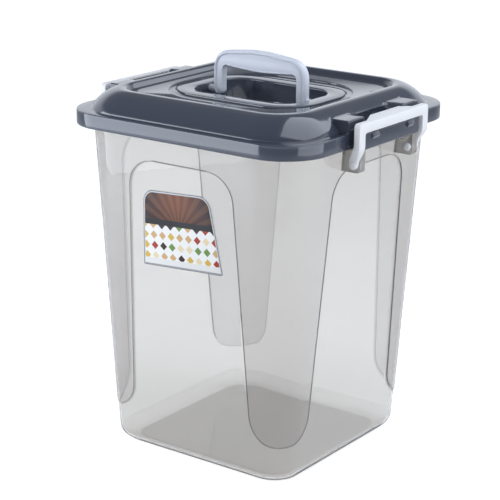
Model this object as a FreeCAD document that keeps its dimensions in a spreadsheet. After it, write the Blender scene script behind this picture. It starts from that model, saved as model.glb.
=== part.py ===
# Square tapered kitchen storage container with a clip-on lid.
# Millimetres, +Z up, origin at the middle of the flat base.
# X runs across the front, so the latches are on the +X and -X sides and the label faces -Y.
import FreeCAD, Part
import math
import os
import re
import Sketcher
from FreeCAD import Placement, Rotation, Vector

SIZES = {
    # Tub: a hollow taper with rounded corners, on half widths measured at the collar.
    "tub_height": 358.2,
    "tub_base_half": 112.8,
    "tub_rim_half": 137.15,
    "tub_base_corner": 27.0,
    "tub_rim_corner": 55.0,
    "tub_wall": 2.0,
    "tub_floor": 2.6,
    "base_round": 9.6,
    # Relief: the collar and four corner tongues stand proud of the faces and the foot.
    "relief_depth": 1.8,
    "relief_step": 1.2,
    "arch_top": 321.0,
    "arch_top_half": 62.6,
    "arch_foot_half": 75.6,
    "arch_round": 30.0,
    "tongue_foot": 38.0,
    "tongue_round": 34.0,
    # Rim under the lid, and the lugs that hold the latch pins.
    "rim_reach": 7.0,
    "rim_thickness": 2.8,
    "lug_inner": 43.6,
    "lug_thickness": 9.2,
    "lug_nose": 5.8,
    "lug_drop": 8.5,
    "lug_round": 4.0,
    # Lid: skirt, flat flange, domed border, crown.
    "lid_fit": 0.95,
    "lid_wall": 2.2,
    "lid_plate": 2.4,
    "lid_corner": 48.6,
    "skirt_height": 15.0,
    "flange_width": 8.8,
    "dome_corner": 58.0,
    "dome_run": 29.1,
    "dome_height": 20.4,
    "crown_corner": 35.0,
    # Sunk deck with a moat round the handle plinth, and the pit for the handle's legs.
    "crown_lip": 1.4,
    "crown_bevel": 1.8,
    "deck_depth": 6.0,
    "deck_lean": 1.7,
    "deck_plate": 3.8,
    "plinth_width": 18.0,
    "moat_depth": 1.6,
    "moat_width_x": 8.5,
    "moat_width_y": 19.5,
    "moat_spread": 25.0,
    "pit_half_y": 43.0,
    "pit_corner": 25.0,
    "pit_depth": 23.0,
    # Latch seats on the lid: a raised boss with a finger scoop, and an apron below it.
    "boss_reach": 1.2,
    "boss_height": 13.4,
    "boss_round": 3.0,
    "scoop_half": 31.0,
    "scoop_inset": 17.3,
    "scoop_floor": 1.6,
    "scoop_round": 9.0,
    "apron_reach": 14.2,
    "apron_rise": 0.9,
    "apron_drop": 1.2,
    "apron_gap": 2.6,
    "apron_round": 2.0,
    "catch_place": 32.5,
    "catch_half": 4.4,
    "catch_back": 9.0,
    # Latches: two legs, a cross bar with a finger tab behind it, pins moulded on.
    "pivot_reach": 2.9,
    "pivot_drop": 28.2,
    "leg_width": 10.5,
    "leg_depth": 6.9,
    "leg_end": 5.4,
    "leg_bend": 17.0,
    "bar_depth": 7.6,
    "bar_height": 10.8,
    "bar_round": 3.2,
    "tab_half": 25.0,
    "tab_slope": 17.0,
    "tab_reach": 7.0,
    "tab_rise": 1.9,
    "tab_thickness": 4.0,
    "tab_round": 1.6,
    "latch_pin_radius": 2.9,
    "latch_head_radius": 4.2,
    "latch_head_length": 2.2,
    # Handle: a bail with a crowned top, a bellied grip and a raised border.
    "handle_half": 58.5,
    "handle_rise": 46.6,
    "handle_depth": 9.6,
    "handle_crown": 6.0,
    "handle_shoulder": 21.0,
    "handle_leg": 12.4,
    "handle_end": 4.6,
    "handle_pivot_drop": 5.0,
    "grip_height": 23.3,
    "grip_belly": 3.0,
    "handle_border": 3.8,
    "handle_lip": 2.2,
    "handle_recess": 0.8,
    "handle_recess_foot": 9.0,
    "handle_pin_radius": 3.6,
    "handle_pin_gap": 6.5,
    # Label: a paper sticker, a little askew on the front face.
    "label_height": 79.5,
    "label_foot_half": 50.0,
    "label_top_half": 41.1,
    "label_round": 14.0,
    "label_place": 213.3,
    "label_shift": -1.75,
    "label_thickness": 0.3,
    "label_turn": 3.6,
    # Clearances between pieces.
    "pin_fit": 0.08,
    "side_gap": 0.3,
    "catch_gap": 0.5,
    "sticker_gap": 0.05,
}

# Heights and reaches that follow from the sizes, as expressions for the document.
LID_TOP = "(tub_height + lid_plate)"
SKIRT_FOOT = f"({LID_TOP} - skirt_height)"
CROWN_TOP = f"({LID_TOP} + dome_height)"
DECK_TOP = f"({CROWN_TOP} - deck_depth)"
PIT_FLOOR = f"({DECK_TOP} - pit_depth)"
RIM_HALF = "(tub_rim_half + rim_reach)"
LID_HALF = f"({RIM_HALF} + lid_fit + lid_wall)"
DOME_HALF = f"({LID_HALF} - flange_width)"
CROWN_HALF = f"({DOME_HALF} - dome_run)"
LIP_HALF = f"({CROWN_HALF} - crown_lip)"
BEVEL_HALF = f"({LIP_HALF} - crown_bevel)"
DECK_HALF = f"({BEVEL_HALF} - deck_lean)"
PIT_HALF_X = "(handle_half + handle_pin_gap)"
PLINTH_HALF_X = f"({PIT_HALF_X} + plinth_width)"
PLINTH_HALF_Y = "(pit_half_y + plinth_width)"
PLINTH_CORNER = "(pit_corner + plinth_width)"
PIVOT_X = f"({LID_HALF} + pivot_reach)"
PIVOT_Z = "(tub_height - pivot_drop)"
LUG_OUTER = "(lug_inner + lug_thickness)"
LEG_INNER = f"({LUG_OUTER} + side_gap)"
LATCH_HALF = f"({LEG_INNER} + leg_width)"
LATCH_FRONT = f"({LID_HALF} + apron_reach)"
APRON_HALF = f"({LEG_INNER} - apron_gap)"
APRON_TOP = f"({LID_TOP} + apron_rise)"
APRON_FOOT = f"({SKIRT_FOOT} - apron_drop)"
BOSS_FRONT = f"({LID_HALF} + boss_reach)"
BOSS_TOP = f"({LID_TOP} + boss_height)"
SCOOP_BACK = f"({LID_HALF} - scoop_inset)"
SCOOP_FLOOR = f"({LID_TOP} + scoop_floor)"
# The cross bar's underside is round about the pivot, so that it clears the apron's front edge as it swings.
CATCH_RADIUS = (
    f"(sqrt((apron_reach - pivot_reach) ^ 2 + ({APRON_TOP} - {PIVOT_Z}) ^ 2) + catch_gap)"
)
BAR_TOP = f"({APRON_TOP} + bar_height)"
HANDLE_PIVOT = f"({DECK_TOP} - handle_pivot_drop)"
FACE_TILT = "atan((tub_rim_half - tub_base_half) / tub_height)"

# Lengths that only carry a cutting shape past what it cuts.
FAR = 400.0
OVERRUN = 5.0
ABOVE_LID = f"({CROWN_TOP} + {OVERRUN})"
# Rings of the dome's quarter ellipse between the flange and the crown.
DOME_STEPS = 6
# Turns of a sketch or a cylinder out of the level plane.
LEVEL = Rotation()
FACING_FRONT = Rotation(Vector(1, 0, 0), 90)
FACING_SIDE = Rotation(Vector(0, 0, 1), 90).multiply(FACING_FRONT)
ALONG_WIDTH = Rotation(Vector(1, 0, 0), 90)

doc = FreeCAD.newDocument("storage_container")
sheet = doc.addObject("Spreadsheet::Sheet", "sizes")
for row, (size_name, size_value) in enumerate(SIZES.items(), start=1):
    sheet.set(f"A{row}", size_name)
    sheet.set(f"B{row}", str(size_value))
    sheet.setAlias(f"B{row}", size_name)
doc.recompute()


def linked(expression):
    """Expression with every size name pointed at its cell."""
    return re.sub(r"[a-z_]+", lambda word: f"sizes.{word[0]}" if word[0] in SIZES else word[0], expression)


def value(expression):
    """Number that an expression has now."""
    return float(sheet.evalExpression(linked(expression)))


def bind(item, **expressions):
    """Tie properties of a document object to expressions; a double underscore stands for a dot."""
    for path, expression in expressions.items():
        item.setExpression(path.replace("__", "."), linked(expression))
    return item


def outline(name, corners, turn=LEVEL, height="0", holder=doc):
    """Closed sketch of straight runs; each corner is (x, y) or (x, y, radius of its rounding)."""
    if holder is doc:
        sketch = doc.addObject("Sketcher::SketchObject", name)
        sketch.Placement = Placement(Vector(), turn)
        bind(sketch, Placement__Base__z=height)
    else:
        sketch = holder.newObject("Sketcher::SketchObject", name)
        role = "XY_Plane" if turn is LEVEL else "XZ_Plane"
        plane = next(item for item in holder.Origin.OriginFeatures if item.Role == role)
        sketch.AttachmentSupport = [(plane, "")]
        sketch.MapMode = "FlatFace"
        bind(sketch, AttachmentOffset__Base__z=height)
    points = [Vector(value(corner[0]), value(corner[1]), 0) for corner in corners]
    radii = [value(corner[2]) if len(corner) > 2 else 0.0 for corner in corners]
    count = len(corners)
    before, after, arcs = [], [], []
    for place in range(count):
        here = points[place]
        to_last = (points[place - 1] - here).normalize()
        to_next = (points[(place + 1) % count] - here).normalize()
        half_angle = to_last.getAngle(to_next) / 2
        reach = radii[place] / math.tan(half_angle)
        before.append(here + to_last * reach)
        after.append(here + to_next * reach)
        if radii[place]:
            inward = (to_last + to_next).normalize()
            middle = here + inward * (radii[place] / math.sin(half_angle) - radii[place])
            arcs.append(Part.Arc(before[place], middle, after[place]))
        else:
            arcs.append(None)
    runs = [
        sketch.addGeometry(Part.LineSegment(after[place], before[(place + 1) % count]), False)
        for place in range(count)
    ]
    for place, corner in enumerate(corners):
        mark = sketch.addGeometry(Part.Point(points[place]), True)
        x_name, y_name = f"x{place}", f"y{place}"
        across = sketch.addConstraint(Sketcher.Constraint("DistanceX", -1, 1, mark, 1, points[place].x))
        sketch.renameConstraint(across, x_name)
        along = sketch.addConstraint(Sketcher.Constraint("DistanceY", -1, 1, mark, 1, points[place].y))
        sketch.renameConstraint(along, y_name)
        last_run, next_run = runs[place - 1], runs[place]
        if arcs[place] is None:
            sketch.addConstraint(Sketcher.Constraint("Coincident", last_run, 2, mark, 1))
            sketch.addConstraint(Sketcher.Constraint("Coincident", next_run, 1, mark, 1))
        else:
            bend = sketch.addGeometry(arcs[place], False)
            start = sketch.getPoint(bend, 1)
            first, second = (1, 2) if start.distanceToPoint(before[place]) < 1e-6 else (2, 1)
            sketch.addConstraint(Sketcher.Constraint("PointOnObject", mark, 1, last_run))
            sketch.addConstraint(Sketcher.Constraint("PointOnObject", mark, 1, next_run))
            sketch.addConstraint(Sketcher.Constraint("Tangent", last_run, 2, bend, first))
            sketch.addConstraint(Sketcher.Constraint("Tangent", next_run, 1, bend, second))
            rounding = sketch.addConstraint(Sketcher.Constraint("Radius", bend, radii[place]))
            sketch.renameConstraint(rounding, f"r{place}")
            sketch.setExpression(f"Constraints.r{place}", linked(corner[2]))
        sketch.setExpression(f"Constraints.{x_name}", linked(corner[0]))
        sketch.setExpression(f"Constraints.{y_name}", linked(corner[1]))
    return sketch


def rounded_rectangle(half_x, half_y, corner):
    """Corners of a rectangle about the Z axis, all rounded alike."""
    return [
        (f"-({half_x})", f"-({half_y})", corner),
        (f"{half_x}", f"-({half_y})", corner),
        (f"{half_x}", f"{half_y}", corner),
        (f"-({half_x})", f"{half_y}", corner),
    ]


def rounded_square(half, corner):
    """Corners of a square about the Z axis, all rounded alike."""
    return rounded_rectangle(half, half, corner)


def prism(name, corners, low, high):
    """Upright prism on a level outline, between two heights."""
    body = doc.addObject("Part::Extrusion", name)
    body.Base = outline(f"{name}_plan", corners, height=low)
    body.DirMode = "Normal"
    body.Solid = True
    bind(body, LengthFwd=f"{high} - ({low})")
    return body


def cross_prism(name, corners, turn, half_length):
    """Prism on an upright outline, centred on its plane and running both ways."""
    body = doc.addObject("Part::Extrusion", name)
    body.Base = outline(f"{name}_face", corners, turn=turn)
    body.DirMode = "Normal"
    body.Solid = True
    body.Symmetric = True
    bind(body, LengthFwd=f"2 * ({half_length})")
    return body


def loft(name, sections, ruled):
    """Solid through rounded squares, each given as (half width, corner radius, height)."""
    body = doc.addObject("Part::Loft", name)
    body.Sections = [
        outline(f"{name}_{step}", rounded_rectangle(half, half, corner), height=height)
        for step, (half, corner, height) in enumerate(sections)
    ]
    body.Solid = True
    body.Ruled = ruled
    return body


def joined(name, pieces):
    """One solid from pieces that overlap."""
    body = doc.addObject("Part::MultiFuse", name)
    body.Shapes = pieces
    body.Refine = True
    return body


def cut(name, base, tool):
    """Base with the tool's volume taken away."""
    body = doc.addObject("Part::Cut", name)
    body.Base = base
    body.Tool = tool
    return body


def cylinder(name, radius, length, turn, **place):
    """Cylinder from its placed base along its turned axis; place gives x, y and z."""
    body = doc.addObject("Part::Cylinder", name)
    body.Placement = Placement(Vector(), turn)
    bind(body, Radius=radius, Height=length)
    bind(body, **{f"Placement__Base__{axis}": expression for axis, expression in place.items()})
    return body


def taper(name, inset):
    """The tub's outer taper, moved in by an inset."""
    return loft(name, [
        (f"tub_base_half - ({inset})", f"tub_base_corner - ({inset})", "0"),
        (f"tub_rim_half - ({inset})", f"tub_rim_corner - ({inset})", "tub_height"),
    ], ruled=True)


def round_foot(name, solid, radius, foot):
    """The solid with the edges of its lowest face rounded."""
    doc.recompute()
    body = doc.addObject("Part::Fillet", name)
    body.Base = solid
    size = value(radius)
    level = value(foot)
    body.Edges = [
        (number, size, size)
        for number, edge in enumerate(solid.Shape.Edges, start=1)
        if max(abs(vertex.Z - level) for vertex in edge.Vertexes) < 1e-6
    ]
    return body


def arches(name, spread):
    """The sunk part of all four faces: an arch that flares out round each tongue's foot, spread sideways."""
    corners = [
        (f"-(arch_foot_half + {spread})", f"tongue_foot - {spread}", f"tongue_round - {spread}"),
        (f"-(arch_top_half + {spread})", f"arch_top + {spread}", f"arch_round + {spread}"),
        (f"arch_top_half + {spread}", f"arch_top + {spread}", f"arch_round + {spread}"),
        (f"arch_foot_half + {spread}", f"tongue_foot - {spread}", f"tongue_round - {spread}"),
        (f"{FAR}", f"tongue_foot - {spread}"),
        (f"{FAR}", f"-{FAR}"),
        (f"-{FAR}", f"-{FAR}"),
        (f"-{FAR}", f"tongue_foot - {spread}"),
    ]
    front = cross_prism(f"{name}_front", corners, FACING_FRONT, FAR)
    side = cross_prism(f"{name}_side", corners, FACING_SIDE, FAR)
    return joined(name, [front, side])


CUP_PLAN = rounded_rectangle(f"{PIT_HALF_X} + lid_wall", "pit_half_y + lid_wall", "pit_corner + lid_wall")


def make_tub():
    """Thin see-through tub: sunk faces and foot, raised collar and corner tongues, rim and latch lugs."""
    foot_skin = round_foot("tub_faces", taper("tub_taper", "relief_depth"), "base_round", "0")
    collar = cut("tub_collar", taper("tub_collar_taper", "0"), arches("tub_arches", "0"))
    rim_plan = rounded_square(RIM_HALF, "tub_rim_corner + rim_reach")
    rim = prism("tub_rim", rim_plan, "tub_height - rim_thickness", "tub_height")
    lugs = cut("tub_lugs", lug_bars(), lug_gap())
    outer = joined("tub_outer", [foot_skin, collar, rim, lugs])

    hollow_taper = loft("tub_hollow_taper", [
        ("tub_base_half - relief_depth - tub_wall", "tub_base_corner - relief_depth - tub_wall", "tub_floor"),
        ("tub_rim_half - relief_depth - tub_wall", "tub_rim_corner - relief_depth - tub_wall", "tub_height"),
    ], ruled=True)
    hollow = round_foot("tub_hollow_faces", hollow_taper, "base_round - tub_wall", "tub_floor")
    hollow_collar = cut("tub_hollow_collar", taper("tub_hollow_collar_taper", "tub_wall"),
                        arches("tub_hollow_arches", "relief_step"))
    inside = joined("tub_inside", [hollow, hollow_collar])
    holes = joined("tub_pin_holes", [
        cylinder(f"tub_{side}_pin_holes", "latch_pin_radius + pin_fit", f"2 * {LUG_OUTER}",
                 ALONG_WIDTH, x=pivot, y=LUG_OUTER, z=PIVOT_Z)
        for side, pivot in (("right", PIVOT_X), ("left", f"-{PIVOT_X}"))
    ])
    return cut("tub", cut("tub_emptied", outer, inside), holes)


def lug_bars():
    """Bars across the tub, from the -X lugs to the +X lugs, as wide as a lug and its neighbour together."""
    nose = f"({PIVOT_X} + lug_nose)"
    foot = f"({PIVOT_Z} - lug_drop)"
    top = f"({APRON_FOOT} - side_gap)"
    corners = [
        (f"-{nose}", foot, "lug_round"),
        (nose, foot, "lug_round"),
        (nose, top),
        (f"-{nose}", top),
    ]
    return cross_prism("lug_bars", corners, FACING_FRONT, LUG_OUTER)


def lug_gap():
    """Space between the two lugs of a side, and the tub's inside, where no lug material is wanted."""
    gap_plan = rounded_rectangle(f"{PIVOT_X} + 2 * lug_nose", "lug_inner", "lug_round")
    gap = prism("lug_gap", gap_plan, f"{PIVOT_Z} - 2 * lug_drop", LID_TOP)
    return joined("lug_clear", [gap, taper("lug_tub_inside", "tub_wall")])


def dome(name, inset):
    """Lid border: rounded squares that follow a quarter ellipse from the flange up to the crown."""
    sections = []
    for step in range(DOME_STEPS + 1):
        angle = 90.0 * step / DOME_STEPS
        out, rise = round(math.cos(math.radians(angle)), 6), round(math.sin(math.radians(angle)), 6)
        sections.append((
            f"{CROWN_HALF} + (dome_run - ({inset})) * {out}",
            f"crown_corner + (dome_corner - crown_corner - ({inset})) * {out}",
            f"{LID_TOP} + (dome_height - ({inset})) * {rise}",
        ))
    return loft(name, sections, ruled=False)


def scoop(name, grow):
    """Finger scoops on both sides of the lid, open outwards and upwards, grown by a wall if that is kept."""
    slot_plan = rounded_rectangle(f"{BOSS_FRONT} + {OVERRUN}", f"scoop_half + {grow}", "scoop_round")
    core_plan = rounded_rectangle(f"{SCOOP_BACK} - ({grow})", f"scoop_half + {OVERRUN}", "scoop_round")
    slot = prism(f"{name}_slot", slot_plan, f"{SCOOP_FLOOR} - ({grow})", ABOVE_LID)
    core = prism(f"{name}_core", core_plan, "tub_height", f"{ABOVE_LID} + {OVERRUN}")
    return cut(name, slot, core)


def make_lid():
    """Lid moulding: skirt, domed border, sunk deck with plinth, moat and pit, and two latch seats."""
    skirt = prism("lid_skirt", rounded_square(LID_HALF, "lid_corner"), SKIRT_FOOT, LID_TOP)
    boss_plan = rounded_rectangle(BOSS_FRONT, LATCH_HALF, "boss_round")
    boss = prism("lid_boss", boss_plan, "tub_height", BOSS_TOP)
    apron_plan = rounded_rectangle(LATCH_FRONT, APRON_HALF, "apron_round")
    apron = prism("lid_apron", apron_plan, APRON_FOOT, APRON_TOP)
    cup = prism("lid_cup", CUP_PLAN, f"{PIT_FLOOR} - lid_wall", DECK_TOP)
    block = joined("lid_block", [skirt, dome("lid_dome", "0"), boss, apron, catches(apron_plan), cup])

    deck = loft("lid_deck", [
        (DECK_HALF, "crown_corner - crown_lip - crown_bevel - deck_lean", DECK_TOP),
        (BEVEL_HALF, "crown_corner - crown_lip - crown_bevel", f"{CROWN_TOP} - crown_bevel"),
        (LIP_HALF, "crown_corner - crown_lip", CROWN_TOP),
        (LIP_HALF, "crown_corner - crown_lip", ABOVE_LID),
    ], ruled=True)
    moat_plan = rounded_rectangle(f"{PLINTH_HALF_X} + moat_width_x", f"{PLINTH_HALF_Y} + moat_width_y",
                                  f"{PLINTH_CORNER} + moat_spread")
    plinth_plan = rounded_rectangle(PLINTH_HALF_X, PLINTH_HALF_Y, PLINTH_CORNER)
    moat_outer = prism("lid_moat_outer", moat_plan, f"{DECK_TOP} - moat_depth", f"{DECK_TOP} + {OVERRUN}")
    plinth = prism("lid_plinth", plinth_plan, f"{DECK_TOP} - 2 * moat_depth", ABOVE_LID)
    moat = cut("lid_moat", moat_outer, plinth)
    pit_plan = rounded_rectangle(PIT_HALF_X, "pit_half_y", "pit_corner")
    pit = prism("lid_pit", pit_plan, PIT_FLOOR, ABOVE_LID)
    pin_reach = f"({PIT_HALF_X} + lid_wall + {OVERRUN})"
    pin_holes = cylinder("lid_pin_holes", "handle_pin_radius + pin_fit", f"2 * {pin_reach}",
                         Rotation(Vector(0, 1, 0), 90), x=f"-{pin_reach}", z=HANDLE_PIVOT)
    sinkings = joined("lid_sinkings", [deck, moat, pit, scoop("lid_scoop", "0"), pin_holes])
    return cut("lid", cut("lid_pressed", block, sinkings), lid_underside())


def catches(apron_plan):
    """Rounded catch nubs on each apron's top edge, inside the swing of the latch's cross bar."""
    nubs = []
    for side, pivot in (("right", PIVOT_X), ("left", f"-{PIVOT_X}")):
        for end, place in (("near", "-catch_place"), ("far", "catch_place")):
            nub = cylinder(f"lid_catch_{side}_{end}", f"{CATCH_RADIUS} - catch_gap", "2 * catch_half",
                           ALONG_WIDTH, x=pivot, y=f"{place} + catch_half", z=PIVOT_Z)
            nubs.append(nub)
    inner_plan = rounded_rectangle(f"{LATCH_FRONT} - catch_back", f"2 * {APRON_HALF}", "apron_round")
    keep = prism("lid_catch_keep", apron_plan, LID_TOP, BOSS_TOP)
    inner = prism("lid_catch_inner", inner_plan, f"{LID_TOP} - {OVERRUN}", ABOVE_LID)
    rows = doc.addObject("Part::MultiCommon", "lid_catches")
    rows.Shapes = [joined("lid_catch_row", nubs), cut("lid_catch_band", keep, inner)]
    return rows


def lid_underside():
    """Hollow under the lid: it leaves one wall of skirt, dome, bosses, aprons, deck, scoops and pit."""
    below = f"{APRON_FOOT} - {OVERRUN}"
    skirt_plan = rounded_square(f"{LID_HALF} - lid_wall", "lid_corner - lid_wall")
    throat_plan = rounded_square(f"{DOME_HALF} - lid_wall", "dome_corner - lid_wall")
    apron_plan = rounded_rectangle(f"{LATCH_FRONT} - lid_wall", f"{APRON_HALF} - lid_wall", "apron_round")
    boss_plan = rounded_rectangle(f"{BOSS_FRONT} - lid_wall", f"{LATCH_HALF} - lid_wall", "boss_round")
    room = joined("lid_room", [
        prism("lid_skirt_hollow", skirt_plan, below, "tub_height"),
        prism("lid_throat", throat_plan, below, LID_TOP),
        prism("lid_apron_hollow", apron_plan, below, f"{APRON_TOP} - lid_plate"),
        prism("lid_boss_hollow", boss_plan, below, f"{BOSS_TOP} - lid_plate"),
        dome("lid_dome_hollow", "lid_wall"),
    ])
    deck_plan = rounded_square(f"{LIP_HALF} + lid_wall", "crown_corner")
    kept = joined("lid_kept", [
        prism("lid_deck_kept", deck_plan, f"{DECK_TOP} - deck_plate", ABOVE_LID),
        prism("lid_cup_kept", CUP_PLAN, f"{PIT_FLOOR} - lid_wall", ABOVE_LID),
        scoop("lid_scoop_kept", "lid_wall"),
    ])
    return cut("lid_underside", room, kept)


def make_latch(name, turn):
    """Latch frame: two legs that bend in to the pivot, a cross bar with a finger tab behind it, and headed pins."""
    back = f"({LATCH_FRONT} - leg_depth)"
    leg_corners = [
        (f"{PIVOT_X} - leg_end", f"{PIVOT_Z} - leg_end", "0.95 * leg_end"),
        (f"{PIVOT_X} + leg_end", f"{PIVOT_Z} - leg_end", "0.95 * leg_end"),
        (f"{PIVOT_X} + leg_end", f"{PIVOT_Z} + leg_end / 2", "leg_end"),
        (LATCH_FRONT, f"{PIVOT_Z} + leg_bend", "leg_end"),
        (LATCH_FRONT, BAR_TOP, "bar_round"),
        (back, BAR_TOP, "bar_round"),
        (back, f"{PIVOT_Z} + leg_bend + leg_end / 2", "leg_end"),
        (f"{PIVOT_X} - leg_end", f"{PIVOT_Z} + leg_end", "leg_end"),
    ]
    bar_back = f"({LATCH_FRONT} - bar_depth)"
    bar_corners = [
        (LATCH_FRONT, PIVOT_Z),
        (LATCH_FRONT, BAR_TOP, "bar_round"),
        (bar_back, BAR_TOP, "bar_round"),
        (bar_back, PIVOT_Z),
    ]
    tab_top = f"({BAR_TOP} + tab_rise)"
    tab_back = f"({bar_back} - tab_reach)"
    tab_end = "(tab_half + tab_slope)"
    tab_corners = [
        (f"{LATCH_FRONT} - bar_round", BAR_TOP),
        (tab_back, tab_top, "tab_round"),
        (tab_back, f"{tab_top} - tab_thickness", "tab_round"),
        (f"{LATCH_FRONT} - bar_round", f"{BAR_TOP} - tab_thickness - tab_rise"),
    ]
    tab_plan = [
        (tab_back, "-tab_half", "bar_round"),
        (bar_back, f"-{tab_end}"),
        (f"{LATCH_FRONT} - bar_round", f"-{tab_end}"),
        (f"{LATCH_FRONT} - bar_round", tab_end),
        (bar_back, tab_end),
        (tab_back, "tab_half", "bar_round"),
    ]
    legs = cross_prism(f"{name}_legs", leg_corners, FACING_FRONT, LATCH_HALF)
    between_plan = rounded_rectangle(f"2 * {LATCH_FRONT}", LEG_INNER, "bar_round")
    between = prism(f"{name}_between", between_plan, f"{PIVOT_Z} - 2 * leg_end", ABOVE_LID)
    bar = cross_prism(f"{name}_bar", bar_corners, FACING_FRONT, LATCH_HALF)
    tab = doc.addObject("Part::MultiCommon", f"{name}_tab")
    tab.Shapes = [
        cross_prism(f"{name}_tab_side", tab_corners, FACING_FRONT, LATCH_HALF),
        prism(f"{name}_tab_top", tab_plan, PIVOT_Z, ABOVE_LID),
    ]
    swing = cylinder(f"{name}_swing", CATCH_RADIUS, f"2 * {LATCH_HALF}", ALONG_WIDTH,
                     x=PIVOT_X, y=LATCH_HALF, z=PIVOT_Z)
    bridge = cut(f"{name}_bridge", joined(f"{name}_bridge_block", [bar, tab]), swing)
    pins = [pin_with_head(f"{name}_{end}", sign) for end, sign in (("near", -1), ("far", 1))]
    body = joined(name, [cut(f"{name}_leg_pair", legs, between), bridge] + pins)
    body.Placement = Placement(Vector(), Rotation(Vector(0, 0, 1), turn))
    return body


def pin_with_head(name, sign):
    """Latch pin from a leg's inner face through its lug, with a rounded snap head on the lug's far face."""
    head_face = "(lug_inner - side_gap)"
    pin_length = f"({LEG_INNER} - {head_face} + side_gap)"
    inward = Rotation(Vector(1, 0, 0), 90 * sign)
    pin = cylinder(f"{name}_pin", "latch_pin_radius", f"{pin_length} + leg_width / 2", inward,
                   x=PIVOT_X, y=f"{sign} * ({LEG_INNER} + leg_width / 2)", z=PIVOT_Z)
    head = doc.addObject("Part::Cone", f"{name}_head")
    head.Placement = Placement(Vector(), inward)
    bind(head, Radius1="latch_head_radius", Radius2="latch_pin_radius", Height="latch_head_length",
         Placement__Base__x=PIVOT_X, Placement__Base__y=f"{sign} * {head_face}", Placement__Base__z=PIVOT_Z)
    return joined(f"{name}_headed_pin", [pin, head])


def make_handle():
    """Carry handle: crowned bail with a bellied grip, a raised border on both faces and a pin on each leg."""
    body = doc.addObject("PartDesign::Body", "carry_handle")
    top = f"({HANDLE_PIVOT} + handle_rise)"
    foot = f"({HANDLE_PIVOT} - handle_end)"
    inner = "(handle_half - handle_leg)"
    grip = f"({top} - grip_height)"
    bail = [
        ("-handle_half", foot, "handle_end"),
        (f"-{inner}", foot, "handle_end / 2"),
        (f"-{inner}", f"{grip} + grip_belly", "handle_end"),
        ("0", grip, "2 * handle_half"),
        (inner, f"{grip} + grip_belly", "handle_end"),
        (inner, foot, "handle_end / 2"),
        ("handle_half", foot, "handle_end"),
        ("handle_half", f"{top} - handle_crown", "handle_shoulder"),
        ("0", top, "2 * handle_half"),
        ("-handle_half", f"{top} - handle_crown", "handle_shoulder"),
    ]
    pad = body.newObject("PartDesign::Pad", "handle_bail")
    pad.Profile = outline("handle_outline", bail, turn=FACING_FRONT, holder=body)
    pad.Midplane = True
    bind(pad, Length="handle_depth")
    outer = "(handle_half - handle_border)"
    lip = f"({inner} + handle_lip)"
    low = f"({HANDLE_PIVOT} + handle_recess_foot)"
    shoulder = "(handle_shoulder - handle_border)"
    face = [
        (f"-{outer}", low, "handle_lip"),
        (f"-{lip}", low, "handle_lip"),
        (f"-{lip}", f"{grip} + grip_belly + handle_lip", "handle_lip"),
        ("0", f"{grip} + handle_lip", "2 * handle_half"),
        (lip, f"{grip} + grip_belly + handle_lip", "handle_lip"),
        (lip, low, "handle_lip"),
        (outer, low, "handle_lip"),
        (outer, f"{top} - handle_crown - handle_border", shoulder),
        ("0", f"{top} - handle_border", "2 * handle_half"),
        (f"-{outer}", f"{top} - handle_crown - handle_border", shoulder),
    ]
    for side, sign in (("front", 1), ("rear", -1)):
        pocket = body.newObject("PartDesign::Pocket", f"handle_{side}_recess")
        pocket.Profile = outline(f"handle_{side}_face", face, turn=FACING_FRONT, holder=body,
                                 height=f"{sign} * (handle_depth / 2 + {OVERRUN})")
        pocket.Reversed = sign < 0
        bind(pocket, Length=f"handle_recess + {OVERRUN}")
    pin = body.newObject("PartDesign::AdditiveCylinder", "handle_pins")
    pin.AttachmentSupport = [(next(i for i in body.Origin.OriginFeatures if i.Role == "YZ_Plane"), "")]
    pin.MapMode = "FlatFace"
    reach = f"({PIT_HALF_X} + lid_wall)"
    bind(pin, Radius="handle_pin_radius", Height=f"{reach} - handle_half + handle_leg / 2")
    bind(pin, AttachmentOffset__Base__z="handle_half - handle_leg / 2")
    bind(pin, AttachmentOffset__Base__y=HANDLE_PIVOT)
    far_pin = body.newObject("PartDesign::AdditiveCylinder", "handle_far_pin")
    far_pin.AttachmentSupport = pin.AttachmentSupport
    far_pin.MapMode = "FlatFace"
    bind(far_pin, Radius="handle_pin_radius", Height=f"{reach} - handle_half + handle_leg / 2")
    bind(far_pin, AttachmentOffset__Base__y=HANDLE_PIVOT, AttachmentOffset__Base__z=f"-{reach}")
    body.Tip = far_pin
    return body


def make_label():
    """Front sticker with tapered sides and round shoulders, lying on the sunk front face."""
    body = doc.addObject("PartDesign::Body", "front_label")
    corners = [
        ("-label_foot_half", "0"),
        ("label_foot_half", "0"),
        ("label_top_half", "label_height", "label_round"),
        ("-label_top_half", "label_height", "label_round"),
    ]
    pad = body.newObject("PartDesign::Pad", "label_sheet")
    pad.Profile = outline("label_outline", corners, holder=body)
    bind(pad, Length="label_thickness")
    tilt = value(FACE_TILT)
    upright = Rotation(Vector(1, 0, 0), 90 + tilt)
    askew = Rotation(Vector(0, 0, 1), value("label_turn"))
    face = "(tub_base_half - relief_depth + (tub_rim_half - tub_base_half) * label_place / tub_height)"
    outward = upright.multVec(Vector(0, 0, 1))
    foot = Vector(value("label_shift"), -value(face), value("label_place"))
    body.Placement = Placement(foot + outward * value("sticker_gap"), upright.multiply(askew))
    return body


pieces = {
    "tub": make_tub(),
    "lid": make_lid(),
    "carry_handle": make_handle(),
    "latch_right": make_latch("latch_right", 0),
    "latch_left": make_latch("latch_left", 180),
    "front_label": make_label(),
}
doc.recompute()

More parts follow.
